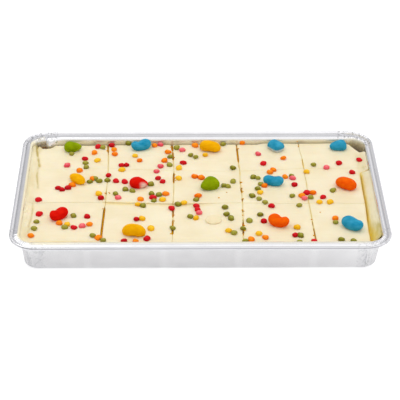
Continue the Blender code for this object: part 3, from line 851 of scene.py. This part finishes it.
def make_icing(row, column, material):
    x, y, edge = portion_grid(row, column, ICING_GRID, 0.86)
    z = icing_surface(row, column, x, y, edge)
    name = f"frosting_{row + 1}_{column + 1}"
    seed = 80 + row * 5 + column
    piece = grid_solid(name, x, y, z, SPONGE_TOP + 0.1, ICING_LAYERS, 0.25, seed, material)
    points = points_of(piece)
    side = np.arange(len(points)) >= x.size
    x, y, z = points.T
    depth = np.where(side, (ICING_TOP - z) / (ICING_TOP - SPONGE_TOP), 0.0)
    set_attribute(piece, "crumb_and_shade", gold_and_shade_by_cuts(x, y, depth))
    # Painted shade in the creases and along the edges.
    old = highest(CREASE_SHADE * crease_depth(x, y), olive_edge_shade(x, y))
    set_attribute(piece, "old", np.where(side, 0.0, old))
    move_points(piece, within_foil(points))
    return piece


def icing_material():
    n = Nodes(bpy.data.materials.new("icing"))
    n.set(Subsurface_Weight=0.25, Subsurface_Scale=0.004, Subsurface_Radius=(1.0, 0.75, 0.4))
    n.set(Specular_IOR_Level=0.2, Roughness=n.levels(n.noise(6, 2), 0.34, 0.52, 0.3, 0.7))
    strokes = n.levels(n.noise(2.2, 2, 0.5, (6, 1, 1)), 0.0, 0.20, 0.35, 0.75)
    colour = n.mix(strokes, n.ramp(n.noise(26, 3), *ICING_COLOURS), ICING_STROKES)
    # Painted olive shade in the creases and along the edges.
    colour = n.mix(n.attribute("old"), colour, SHADE_ON_ICING)
    # The sponge crumb's gold beside the cuts, with painted shade in them.
    n.set(Base_Color=n.mix(n.attribute("crumb_and_shade"), colour, ICING_GOLD))
    n.bumps((n.noise(3.2, 3, 0.5, (9, 1, 1)), 0.08), (n.noise(1.0, 2), 0.015))
    return n.material


# Sponge.

SPONGE_LEAN = 5.0
SPONGE_INSET = 1.2
# How much further its left side is drawn in, and how far right its right side may reach.
SPONGE_LEFT = 3.0
SPONGE_RIGHT = 163.0
SPONGE_FLOOR = 0.9
SPONGE_GRID = 56
SPONGE_LAYERS = 16
CRUMB_RISE = 4.3
SPONGE_COLOURS = ((0.30, (0.61, 0.235, 0.001)), (0.70, (0.80, 0.385, 0.006)))
# Crumbs of sponge that the knife left on the icing: places seen singly. One more lies beside
# each stretch where a cut gapes.
CRUMBS = (
    (-87.7, -2.2), (-86.9, -4.0), (40.3, 15.5), (41.3, 14.7), (-23.6, 30.5), (-23.0, 18.5),
    (101.3, 91.0), (102.2, 84.7), (18.6, -13.0), (26.5, -2.7), (114.4, -38.7), (41.8, 5.0),
    (41.4, -3.6), (41.3, -14.4), (40.5, -34.6), (40.5, -43.5), (105.3, -51.0),
)
CRUMB_RADIUS = 0.62


def crumb_height(x, y):
    """The sponge's top, pulled up by the knife along the cuts."""
    return SPONGE_TOP + near_cuts(x, y, 1.5) * (CRUMB_RISE + 0.4 * noise(x, y, 2.2, 2.2, 95))


def drawn_in(values, outer, inner, shift):
    """Moves the values near outer towards inner by shift, and those at inner not at all."""
    return values - math.copysign(1, outer - inner) * shift * rise(values, inner, outer)


def make_sponge(row, column, material):
    """The portion's sponge. Its outer sides lean in with the foil."""
    x, y, _ = portion_grid(row, column, SPONGE_GRID, 0.8, sponge_gap)
    name = f"crumb_{row + 1}_{column + 1}"
    seed = 120 + row * 5 + column
    height = crumb_height(x, y)
    piece = grid_solid(name, x, y, height, SPONGE_FLOOR, SPONGE_LAYERS, 0.7, seed, material)
    px, py, pz = points_of(piece).T
    shift = np.maximum(SPONGE_INSET + SPONGE_LEAN * (SPONGE_TOP - pz) / SPONGE_TOP, 0)
    if column == 0:
        px = drawn_in(px, x.min(), x.mean(), shift + SPONGE_LEFT)
    if column == COLUMNS - 1:
        over = np.maximum(line_across(COLUMNS, py) - SPONGE_RIGHT, 0)
        px = drawn_in(px, x.max(), x.mean(), shift + over)
    if row == 0:
        py = drawn_in(py, y.min(), y.mean(), shift)
    if row == ROWS - 1:
        py = drawn_in(py, y.max(), y.mean(), shift)
    move_points(piece, np.column_stack((px, py, pz)))
    return piece


def sponge_material():
    n = Nodes(bpy.data.materials.new("sponge"))
    n.set(Roughness=0.85, Subsurface_Weight=0.15, Subsurface_Scale=0.003, Specular_IOR_Level=0.0)
    n.set(Base_Color=n.ramp(n.noise(2.5, 4, 0.6), *SPONGE_COLOURS))
    n.bumps((n.cells(1.8), 0.5), (n.noise(0.8, 3, 0.6), 0.2))
    return n.material


def make_crumbs(material):
    """Small uneven lumps of sponge, in one piece."""
    draw = random.Random(SEED)
    places = list(CRUMBS)
    for line, openings in OPEN_ACROSS.items():
        for low, high, wide in openings:
            if wide >= 1.0:
                y = draw.uniform(low, high)
                x = float(line_across(line, y)) + draw.choice((-1, 1)) * (0.5 * wide + 0.5)
                places.append((x, y))
    lumps = []
    for x, y in places:
        shape, faces, _ = drop_shape(draw)
        size = CRUMB_RADIUS * draw.uniform(0.7, 1.3)
        shape = shape * (size * draw.uniform(0.8, 1.5), size, size * 0.7)
        lumps.append((shape + (x, y, float(icing_height(x, y)) + 0.1), faces))
    return new_object("sponge_crumbs", *joined(lumps), material)


# Icing left on the foil along the right side, between the cake and the tray's wall.

STREAK_PLACES = 150
STREAK_STEPS = 12
STREAK_ENDS = (-91.0, 37.0)
# The crack beside the cake: its width, its share of the smear's width and how much larger
# that is in front. Then the heights over the icing of the crack's bottom, of its outer edge
# and of the smear's end on the foil.
CRACK_WIDTH = 0.35
CRACK_SHARE = 0.16
CRACK_FRONT = 0.12
STREAK_HEIGHTS = (-3.4, -1.2, 2.2)
STREAK_THICK = 1.2
STREAK_CORNER = 6.5
IN_FRONT = -120


def make_streak(material):
    """A smear of icing that rises from the crack beside the cake to the foil. At its back end
    it closes over the crack and meets the icing."""
    y, share = np.meshgrid(
        np.linspace(*STREAK_ENDS, STREAK_PLACES), np.linspace(0, 1, STREAK_STEPS), indexing="ij"
    )
    taper = between(y, STREAK_ENDS[0] + 1.5, STREAK_ENDS[1] + 2.0, 1.5)
    crack = CRACK_WIDTH + 0.15 * noise(y, 0, 6, 1, 101) - 0.9 * rise(y, 28, 32)
    start = line_across(COLUMNS, y) + crack
    wall_x = RIM_X - WIDTHS[0][1] - WIDTHS[1][1] + 0.2
    stop = np.maximum(wall_x - STREAK_CORNER * rise(-y, 76, 88) ** 2, start + 0.5)
    x = start + (stop - start) * share
    fading = 1 - 1.3 * rise(y, 24, 34)
    bottom, shelf, end = STREAK_HEIGHTS
    bottom, shelf = bottom * fading, shelf * fading
    crack_share = CRACK_SHARE + CRACK_FRONT * between(y, IN_FRONT, -55, 9)
    up = np.clip(share / crack_share, 0, 1) ** 1.5
    out = rise(share, crack_share, 1) ** 0.9
    z = ICING_TOP + bottom + (shelf - bottom) * up + (end - shelf) * out
    z = z + 0.30 * noise(y, x, 5, 2.5, 102)
    floor = SPONGE_TOP - 1
    z = floor + (z - floor) * (0.25 + 0.75 * taper)
    top = grid_faces(*x.shape)
    edge, count = border(*x.shape), x.size
    faces = top + [tuple(count + k for k in reversed(quad)) for quad in top]
    faces += band([count + k for k in edge], edge)
    points = np.concatenate((flat(x, y, z), flat(x, y, z - STREAK_THICK)))
    piece = new_object("icing_smear", within_foil(points, 0.1), faces, material)
    # The crumb's gold in the crack with its painted shade, and painted olive shade, strongest towards the
    # crack and, in front, also on the outer half.
    front, corner = between(y, IN_FRONT, -57, 6), between(y, IN_FRONT, -68, 5)
    golden = bump(share, 0, 0.25 + 0.10 * front + 0.15 * corner) * between(y, IN_FRONT, 34, 3)
    golden = golden * (0.85 + 0.15 * noise(y, x, 4, 1.5, 103))
    tan = front * between(share, 0.50, 1.1, 0.10)
    olive = 0.44 - 0.34 * share + front * (0.60 - 0.10 * share)
    old = highest(np.maximum(tan, olive) * (0.78 + 0.25 * front + 0.35 * noise(y, x, 6, 0.9, 104)))
    set_attribute(piece, "crumb_and_shade", np.tile(golden.ravel(), 2))
    set_attribute(piece, "old", np.tile(old.ravel(), 2))
    return piece


# Jelly beans: colour, middle, length, width and height in millimetres, turn from above and
# curl in degrees, taper, how deep the notch is in the inside of the curl and where along the
# bean, and how blunt the ends are.
BEANS = (
    (
        ("red", -134.0, -45.5, 18.2, 12.6, 10.6, 38, 58, 0.02, 0.10, -0.10, 3.2),
        ("yellow", -62.0, -75.3, 20.6, 12.8, 10.6, -9, -75, -0.04, 0, 0, 3.0),
        ("cream", 12.5, -51.5, 14.5, 15.0, 3.7, 4, 20, 0.05, 0, 0, 2.4),
        ("orange", 74.2, -59.0, 17.8, 13.0, 10.8, -22, 85, -0.10, 0.22, 0.22, 3.0),
        ("blue", 143.4, -63.5, 20.2, 14.6, 11.2, -37, 60, -0.10, 0.12, 0.35, 3.0),
    ),
    (
        ("yellow", -119.0, 18.5, 19.5, 11.6, 9.6, -44, 0, 0, 0, 0, 1.6),
        ("red", -58.8, 9.5, 18.5, 14.0, 10.8, -12, 15, -0.26, 0, 0, 1.7),
        ("green", 9.2, 6.0, 19.0, 15.0, 11.6, 38, 15, 0.42, 0, 0, 2.6),
        ("blue", 72.8, 14.2, 19.0, 11.8, 9.6, -12, 58, -0.02, 0.06, 0.05, 3.2),
        ("orange", 142.7, 6.2, 21.8, 14.0, 10.6, -36, -25, 0.02, 0, 0, 2.8),
    ),
    (
        ("green", -126.7, 79.0, 17.6, 13.5, 10.2, 0, 15, -0.32, 0, 0, 2.2),
        ("blue", -58.4, 82.6, 18.8, 12.8, 10.2, 20, 70, 0.12, 0.24, -0.18, 3.2),
        ("yellow", 11.8, 77.1, 21.3, 12.5, 10.0, -16, -45, -0.10, 0, 0, 3.6),
        ("blue", 78.9, 80.4, 16.8, 13.6, 10.4, -50, 0, 0, 0, 0, 5.0),
        ("blue", 142.0, 80.2, 17.6, 13.2, 9.8, 14, -10, 0.30, 0, 0, 3.0),
    ),
)
BEAN_ROLL = math.radians(48)
CURL_MIDDLE = 0.4
LEAST_CURL = 0.01
NOTCH_LENGTH = 0.32
BEAN_FLAT = 0.40
BEAN_SINK = 0.9
BEAN_SIDES = 56
BEAN_BELTS = 44
BEAN_COLOURS = {
    "red": ((0.60, 0.002, 0.001), (0.76, 0.012, 0.003)),
    "orange": ((0.77, 0.072, 0.001), (0.92, 0.140, 0.002)),
    "yellow": ((0.78, 0.36, 0.001), (0.92, 0.47, 0.003)),
    "green": ((0.18, 0.255, 0.001), (0.28, 0.37, 0.002)),
    "blue": ((0.008, 0.23, 0.38), (0.050, 0.36, 0.53)),
    "cream": ((0.82, 0.69, 0.43), (0.87, 0.76, 0.51)),
}
# Icing colour on two of the beans: a patch of icing that clings to one, as the portion's place
# and the patch's middle and half sizes, and a painted reflection of the icing round the foot
# of another's front side, as its height.
ICED_PATCH = {(1, 1): (-53.0, 3.2, 4.6, 2.8)}
REFLECTION_FOOT = {(2, 3): 3.4}
ICING_TONE = (0.84, 0.74, 0.62)


def bean_surface(t, a, shape, uneven=0.0):
    """Points of a bean lying along X: t runs from -1 to 1 along it, and a goes round."""
    length, width, height, curl, taper, notch, notch_at, blunt = shape
    half = math.radians(curl) / 2 or LEAST_CURL
    radius = length / 2 / math.sin(half)
    girth = np.sqrt(np.maximum(0, 1 - np.abs(t) ** blunt)) * (1 + taper * t) * (1 + uneven)
    facing = np.maximum(0, np.cos(a - BEAN_ROLL))
    girth = girth * (1 - notch * facing * bump(t, notch_at, NOTCH_LENGTH))
    away = np.cos(a) * girth * width / 2
    sag = radius * (1 - np.cos(half * t))
    full = radius * (1 - math.cos(half))
    px = (radius - away) * np.sin(half * t)
    py = away * np.cos(half * t) + math.cos(BEAN_ROLL) * (sag - CURL_MIDDLE * full)
    pz = np.sin(a) * girth * height / 2 + math.sin(BEAN_ROLL) * (sag - min(0.0, full))
    return px, py, pz


def turned(x, y, px, py, degrees):
    """Places px, py turned from above and moved to x, y."""
    c, s = math.cos(math.radians(degrees)), math.sin(math.radians(degrees))
    return x + c * px - s * py, y + s * px + c * py


def make_bean(row, column, material):
    _, x, y, length, width, height, turn, *bends = BEANS[row][column]
    shape = (length, width, height, *bends)
    seed = 200 + 5 * row + column
    along = -np.cos(np.linspace(0, math.pi, BEAN_BELTS))[1:-1]
    angle = np.linspace(0, 2 * math.pi, BEAN_SIDES, endpoint=False)
    t, a = np.meshgrid(along, angle, indexing="ij")
    px, py, pz = bean_surface(t, a, shape, 0.035 * noise(t * 10, a * 10, 7, 11, seed))
    pz = pz + 0.25 * noise(px, py, 5, 5, seed + 30) * np.clip(np.sin(a), 0, 1)
    tips = np.column_stack(bean_surface(np.array([-1.0, 1.0]), np.zeros(2), shape))
    px, py, pz = np.vstack((flat(px, py, pz), tips)).T
    pz = np.maximum(pz, -BEAN_FLAT * height)
    px, py = turned(x, y, px, py, turn)
    pz = pz + float(icing_height(x, y)) - BEAN_SINK - pz.min()
    name = f"jelly_bean_{row + 1}_{column + 1}"
    piece = new_object(name, flat(px, py, pz), tipped_faces(len(along), BEAN_SIDES), material)
    icing_and_reflection = np.zeros(len(px))
    if (row, column) in ICED_PATCH:
        iced_x, iced_y, wide, deep = ICED_PATCH[row, column]
        away = np.hypot((px - iced_x) / wide, (py - iced_y) / deep)
        icing_and_reflection = 0.70 * np.clip(1.6 - 1.3 * away, 0, 1)
    # A painted reflection of the icing round the foot of the bean's front side.
    if (row, column) in REFLECTION_FOOT:
        foot = REFLECTION_FOOT[row, column]
        icing_and_reflection = 0.60 * rise(pz - ICING_TOP, foot, foot - 1.2) * (py < y)
    set_attribute(piece, "icing_and_reflection", icing_and_reflection)
    return piece


def bean_material(name):
    dark, light = BEAN_COLOURS[name]
    n = Nodes(bpy.data.materials.new(f"bean_{name}"))
    n.set(Subsurface_Weight=0.2, Subsurface_Scale=0.002, Subsurface_Radius=(1.0, 0.6, 0.6))
    n.set(Specular_IOR_Level=0.015, Roughness=n.levels(n.noise(2.5, 2), 0.30, 0.48, 0.3, 0.7))
    colour = n.ramp(n.noise(4.5, 3, 0.55, (1.6, 1, 1)), (0.30, dark), (0.72, light))
    n.set(Base_Color=n.mix(n.attribute("icing_and_reflection"), colour, ICING_TONE))
    n.bumps((n.noise(2.8, 2), 0.16), (n.noise(0.7, 2), 0.02))
    return n.material


# Sprinkles, in runs: the colours in order, then the first one's place and the last one's.
SPRINKLE_RADIUS = 3.30
OLIVE_RADIUS = 3.10
SPRINKLE_HEIGHT = 0.60
SPRINKLE_RISE = 0.95
SPRINKLE_DRIFT = 0.4
SPRINKLE_TILT = 0.22
KEEP_FROM_BEAN = 2.4
DROP_BELTS = 9
DROP_SIDES = 16
DROP_UNEVEN = 0.09
RUNS = (
    ("GP", -128, 70, -131, 47), ("RG", -102, 84, -97, 82), ("RO", -88, 86, -85, 78),
    ("OO", -105, 72, -84, 69), ("RGG", -114, 59, -112, 43), ("YY", -101, 56, -76, 39),
    ("RR", -77, 47, -72, 47), ("G", -71, 90), ("YO", -64, 65, -59, 56),
    ("OP", -44, 86, -38, 87), ("GP", -22, 81, -16, 77), ("OG", -31, 73, -28, 64),
    ("OG", -34, 56, -29, 48), ("PY", -38, 45, -20, 42), ("R", -15, 52),
    ("GG", -8, 67, -3, 63), ("OG", -3, 86, 25, 87), ("YG", 7, 67, 34, 42),
    ("OP", 45, 90, 60, 69), ("RO", 65, 50, 85, 61), ("OO", 74, 38, 70, 34),
    ("GP", 115, 47, 127, 42), ("RR", 140, 50, 161, 56), ("R", 152, 33),
    ("YO", 107, 34, 85, 25), ("OP", -118, 37, -42, 35), ("OR", -124, 10, -128, 5),
    ("RR", -133, 2, -137, 5), ("GO", -107, 17, -104, 22), ("GG", -102, 22, -98, 18),
    ("RG", -89, 28, -90, 19), ("RR", -81, 18, -73, 16), ("YR", -97, -6, -95, -13),
    ("RR", -155, -16, -152, -41), ("GG", -72, 2, -65, -1), ("GP", -81, -6, -78, -13),
    ("RR", -40, 22, -36, 16), ("GO", -48, 11, -57, -16), ("GRG", -46, -6, -44, -19),
    ("GO", -39, -8, -33, -6), ("YY", -36, -17, -20, 22), ("YG", -59, -25, -54, -28),
    ("OO", -4, 25, 2, 23), ("OG", -1, -10, -3, -17), ("G", 33, 16), ("GG", 28, 7, 23, 9),
    ("GG", 53, 25, 58, 23), ("GO", 60, 11, 64, 9), ("GY", 57, 3, 59, -4),
    ("GGGR", 51, -10, 69, -28), ("GP", 91, 27, 92, 22), ("R", 93, 10),
    ("GO", 90, -10, 99, -10), ("RO", 104, -5, 110, -5), ("PG", 101, -14, 107, -13),
    ("YR", 115, -22, 119, -13), ("G", 130, -1), ("GY", 95, -27, 125, -22),
    ("GGO", -154, -54, -157, -78), ("GR", -120, -44, -107, -46), ("OY", -132, -57, -125, -59),
    ("G", -127, -64), ("RPO", -118, -65, -104, -59), ("G", -100, -78),
    ("OG", -95, -82, -90, -86), ("RY", -60, -51, -55, -50), ("YR", -46, -66, -50, -83),
    ("RO", -71, -86, -60, -87), ("RG", -27, -32, -26, -65), ("GY", -21, -25, -15, -22),
    ("RRP", -3, -28, -1, -40), ("GY", -9, -46, -4, -49), ("GG", 24, -31, 25, -43),
    ("G", 29, -50), ("YG", 26, -70, 31, -74), ("GG", 40, -67, 41, -88),
    ("GR", 57, -43, 60, -55), ("GO", 46, -54, 47, -86), ("YO", 54, -76, 60, -82),
    ("YR", 91, -66, 88, -78), ("G", 91, -89), ("GG", 93, -79, 130, -85),
    ("RG", 105, -88, 141, -87), ("OG", 128, -50, 127, -57),
)
SPRINKLE_COLOURS = {
    "R": ("red", (0.44, 0.001, 0.004), (0.64, 0.006, 0.012)),
    "P": ("pink", (0.72, 0.060, 0.090), (0.86, 0.180, 0.190)),
    "O": ("orange", (0.84, 0.145, 0.001), (0.96, 0.265, 0.004)),
    "Y": ("yellow", (0.80, 0.400, 0.004), (0.92, 0.520, 0.025)),
    "G": ("olive", (0.170, 0.152, 0.006), (0.345, 0.318, 0.045)),
}


def sprinkle_places():
    """(colour letter, x, y) of every sprinkle, from the runs and a seeded drift."""
    draw = random.Random(SEED)
    places = []
    for colours, *ends in RUNS:
        (x0, y0), (x1, y1) = ends[:2], ends[-2:]
        for k, letter in enumerate(colours):
            share = k / max(1, len(colours) - 1)
            x = x0 + share * (x1 - x0) + draw.uniform(-SPRINKLE_DRIFT, SPRINKLE_DRIFT)
            y = y0 + share * (y1 - y0) + draw.uniform(-SPRINKLE_DRIFT, SPRINKLE_DRIFT)
            places.append((letter, x, y))
    return places


def bean_discs():
    """Discs that cover the beans from above: (x, y, radius)."""
    discs = []
    for _, x, y, length, width, height, turn, *bends in (bean for row in BEANS for bean in row):
        t = np.linspace(-0.88, 0.88, 8)
        px, py, _ = bean_surface(t, np.full(8, math.pi / 2), (length, width, height, *bends))
        girth = np.sqrt(1 - np.abs(t) ** bends[4]) * (1 + bends[1] * t)
        discs += zip(*turned(x, y, px, py, turn), girth * width / 2)
    return discs


def clear_of_bean(x, y, discs):
    """Moves a sprinkle off a bean that it would lie under."""
    for disc_x, disc_y, radius in discs:
        away = (radius + KEEP_FROM_BEAN) / math.hypot(x - disc_x, y - disc_y)
        if away > 1:
            x, y = disc_x + (x - disc_x) * away, disc_y + (y - disc_y) * away
    return x, y


def drop_shape(draw):
    """A flattened drop with a slightly uneven outline: its points, faces and centre shares."""
    wobble = [draw.uniform(-DROP_UNEVEN, DROP_UNEVEN) for _ in range(3)]
    turn = draw.uniform(0, 2 * math.pi)
    polar = math.pi * np.arange(1, DROP_BELTS) / DROP_BELTS
    angle = 2 * math.pi * np.arange(DROP_SIDES) / DROP_SIDES
    polar, angle = np.meshgrid(polar, angle, indexing="ij")
    uneven = (w * np.cos((k + 2) * angle + turn * (k + 1)) for k, w in enumerate(wobble))
    radius = np.sin(polar) ** 0.85 * (1 + sum(uneven))
    points = flat(radius * np.cos(angle), radius * np.sin(angle), np.cos(polar))
    centre = np.append(1 - radius.ravel(), (1, 1))
    points = np.vstack((points, (0, 0, 1), (0, 0, -1)))
    return points, tipped_faces(DROP_BELTS - 1, DROP_SIDES), centre


def make_sprinkles(letter, places, material):
    draw = random.Random(SEED + ord(letter))
    radius = OLIVE_RADIUS if letter == "G" else SPRINKLE_RADIUS
    drops, centres, shades = [], [], []
    discs = bean_discs()
    for _, x, y in (place for place in places if place[0] == letter):
        x, y = clear_of_bean(x, y, discs)
        shape, faces, centre = drop_shape(draw)
        size = radius * draw.uniform(0.90, 1.08)
        shape = shape * (size, size * draw.uniform(0.90, 1.05), size * SPRINKLE_HEIGHT)
        tilt = Matrix.Rotation(draw.uniform(-SPRINKLE_TILT, SPRINKLE_TILT), 3, "X")
        tilt = tilt @ Matrix.Rotation(draw.uniform(-SPRINKLE_TILT, SPRINKLE_TILT), 3, "Y")
        tilt = tilt @ Matrix.Rotation(draw.uniform(0, 6.28), 3, "Z")
        ground = float(icing_height(x, y)) + SPRINKLE_RISE
        drops.append((shape @ np.array(tilt).T + (x, y, ground), faces))
        centres.append(centre)
        shades.append(np.full(len(shape), draw.uniform(0, 1)))
    piece = new_object(f"sprinkles_{SPRINKLE_COLOURS[letter][0]}", *joined(drops), material)
    set_attribute(piece, "centre", np.concatenate(centres))
    set_attribute(piece, "shade", np.concatenate(shades))
    return piece


def sprinkle_material(letter):
    name, dark, light = SPRINKLE_COLOURS[letter]
    n = Nodes(bpy.data.materials.new(f"sprinkle_{name}"))
    n.set(Roughness=0.42, Subsurface_Weight=0.15, Subsurface_Scale=0.001, Specular_IOR_Level=0.06)
    # Darker at the rim and lighter in the middle: the sugar's own paler middle together with painted
    # highlight and painted shade.
    middle = n.levels(n.attribute("centre"), 0.0, 1.0, 0.1, 0.8)
    lighter = tuple(min(1.0, c * 1.25 + 0.01) for c in light)
    shade = n.levels(n.attribute("shade"), 0.0, 0.55)
    n.set(Base_Color=n.mix(shade, n.ramp(middle, (0.15, dark), (0.95, light)), lighter))
    n.bumps((n.noise(1.2, 2), 0.05))
    return n.material


# Stage.

CAMERA_TARGET = (0.71, 0.0, 18.9)
CAMERA_DISTANCE = 1504.5
CAMERA_PITCH = 32.62
CAMERA_YAW = 1.116
CAMERA_ROLL = -0.454
CAMERA_LENS = 138.96
CAMERA_SENSOR = 36.0
# The studio's brightness by height above the horizon, as (sine of the height, brightness,
# blue share), and its fall-off towards the left.
STUDIO = (
    (0.0, 0.97, 1.0), (0.32, 0.95, 1.0), (0.46, 0.72, 1.05), (0.60, 0.70, 1.05),
    (0.82, 1.28, 1.0), (1.0, 1.28, 1.0),
)
STUDIO_LEFT = 0.88
STUDIO_RIGHT = 1.12
STUDIO_TURN = 0.30
SOFTBOX_PLACE = (-0.7, 0.5, 1.5)
SOFTBOX_SIZE = 1.1
SOFTBOX_ENERGY = 3.5
FLOOR_HALF = 4000.0
FLOOR_HEIGHT = -0.05
FLOOR_COLOUR = (0.9, 0.9, 0.9)
FLOOR_GLOW = 0.50


def make_camera():
    pitch, yaw, roll = (math.radians(a) for a in (CAMERA_PITCH, CAMERA_YAW, CAMERA_ROLL))
    flat_share = math.cos(pitch)
    forward = Vector((math.sin(yaw) * flat_share, math.cos(yaw) * flat_share, -math.sin(pitch)))
    right = Vector((math.cos(yaw), -math.sin(yaw), 0))
    down = forward.cross(right)
    rolled = right * math.cos(roll) + down * math.sin(roll)
    up = right * math.sin(roll) - down * math.cos(roll)
    data = bpy.data.cameras.new("camera")
    data.lens = CAMERA_LENS
    data.sensor_width = CAMERA_SENSOR
    camera = bpy.data.objects.new("camera", data)
    camera.rotation_euler = Matrix((rolled, up, -forward)).transposed().to_euler()
    camera.location = (Vector(CAMERA_TARGET) - forward * CAMERA_DISTANCE) * MM
    bpy.context.scene.collection.objects.link(camera)
    bpy.context.scene.camera = camera


def make_light():
    """A soft graded studio all round, and one large lamp."""
    world = bpy.data.worlds.new("studio")
    bpy.context.scene.world = world
    n = Nodes(world, "Background", "Generated")
    split = n.add("SeparateXYZ", {"Vector": n.place}).outputs
    brightest = max(level for _, level, _ in STUDIO)
    stops = []
    for position, level, blue in STUDIO:
        share = level / brightest
        stops.append((position, (share, share, min(share * blue, 1.0))))
    ends = (STUDIO_LEFT * brightest, STUDIO_RIGHT * brightest)
    n.set(Color=n.ramp(split["Z"], *stops))
    n.set(Strength=n.levels(split["X"], *ends, -STUDIO_TURN, STUDIO_TURN))
    softbox = bpy.data.lights.new("softbox", "AREA")
    softbox.shape = "DISK"
    softbox.size = SOFTBOX_SIZE
    softbox.energy = SOFTBOX_ENERGY
    lamp = bpy.data.objects.new("softbox", softbox)
    lamp.location = SOFTBOX_PLACE
    lamp.rotation_euler = (-Vector(SOFTBOX_PLACE)).to_track_quat("-Z", "Y").to_euler()
    bpy.context.scene.collection.objects.link(lamp)


def make_floor():
    ends = (-FLOOR_HALF, FLOOR_HALF)
    corners = [(x, y, FLOOR_HEIGHT) for y in ends for x in ends]
    n = Nodes(bpy.data.materials.new("floor"))
    n.set(Roughness=0.9, Base_Color=FLOOR_COLOUR)
    n.set(Emission_Color=(1, 1, 1), Emission_Strength=FLOOR_GLOW)
    floor = new_object("floor", corners, [(0, 1, 3, 2)], n.material)


def attach(piece, nodes=()):
    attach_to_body(piece, "root")
    if nodes:
        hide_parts(*nodes)


def main():
    bpy.context.scene.view_settings.view_transform = "Standard"
    make_camera()
    make_light()
    make_floor()
    inside = foil_material("foil_inside", FOIL_INSIDE, True)
    outside = foil_material("foil_outside", SHADED_FOIL_OUTSIDE, False)
    attach(make_tray(inside, outside), ["tray"])
    icing, sponge = icing_material(), sponge_material()
    attach(make_streak(icing))
    attach(make_crumbs(sponge))
    beans = {name: bean_material(name) for name in BEAN_COLOURS}
    for row in range(ROWS):
        for column in range(COLUMNS):
            place = f"{row + 1}_{column + 1}"
            attach(make_sponge(row, column, sponge), [f"sponge_{place}"])
            attach(make_icing(row, column, icing), [f"icing_{place}"])
            name = BEANS[row][column][0]
            attach(make_bean(row, column, beans[name]), [f"bean_{place}"])
    places = sprinkle_places()
    for letter in SPRINKLE_COLOURS:
        attach(make_sprinkles(letter, places, sprinkle_material(letter)))


def write_sizes():
    """Brings the view layer up to date."""
    bpy.context.view_layer.update()


main()
write_sizes()
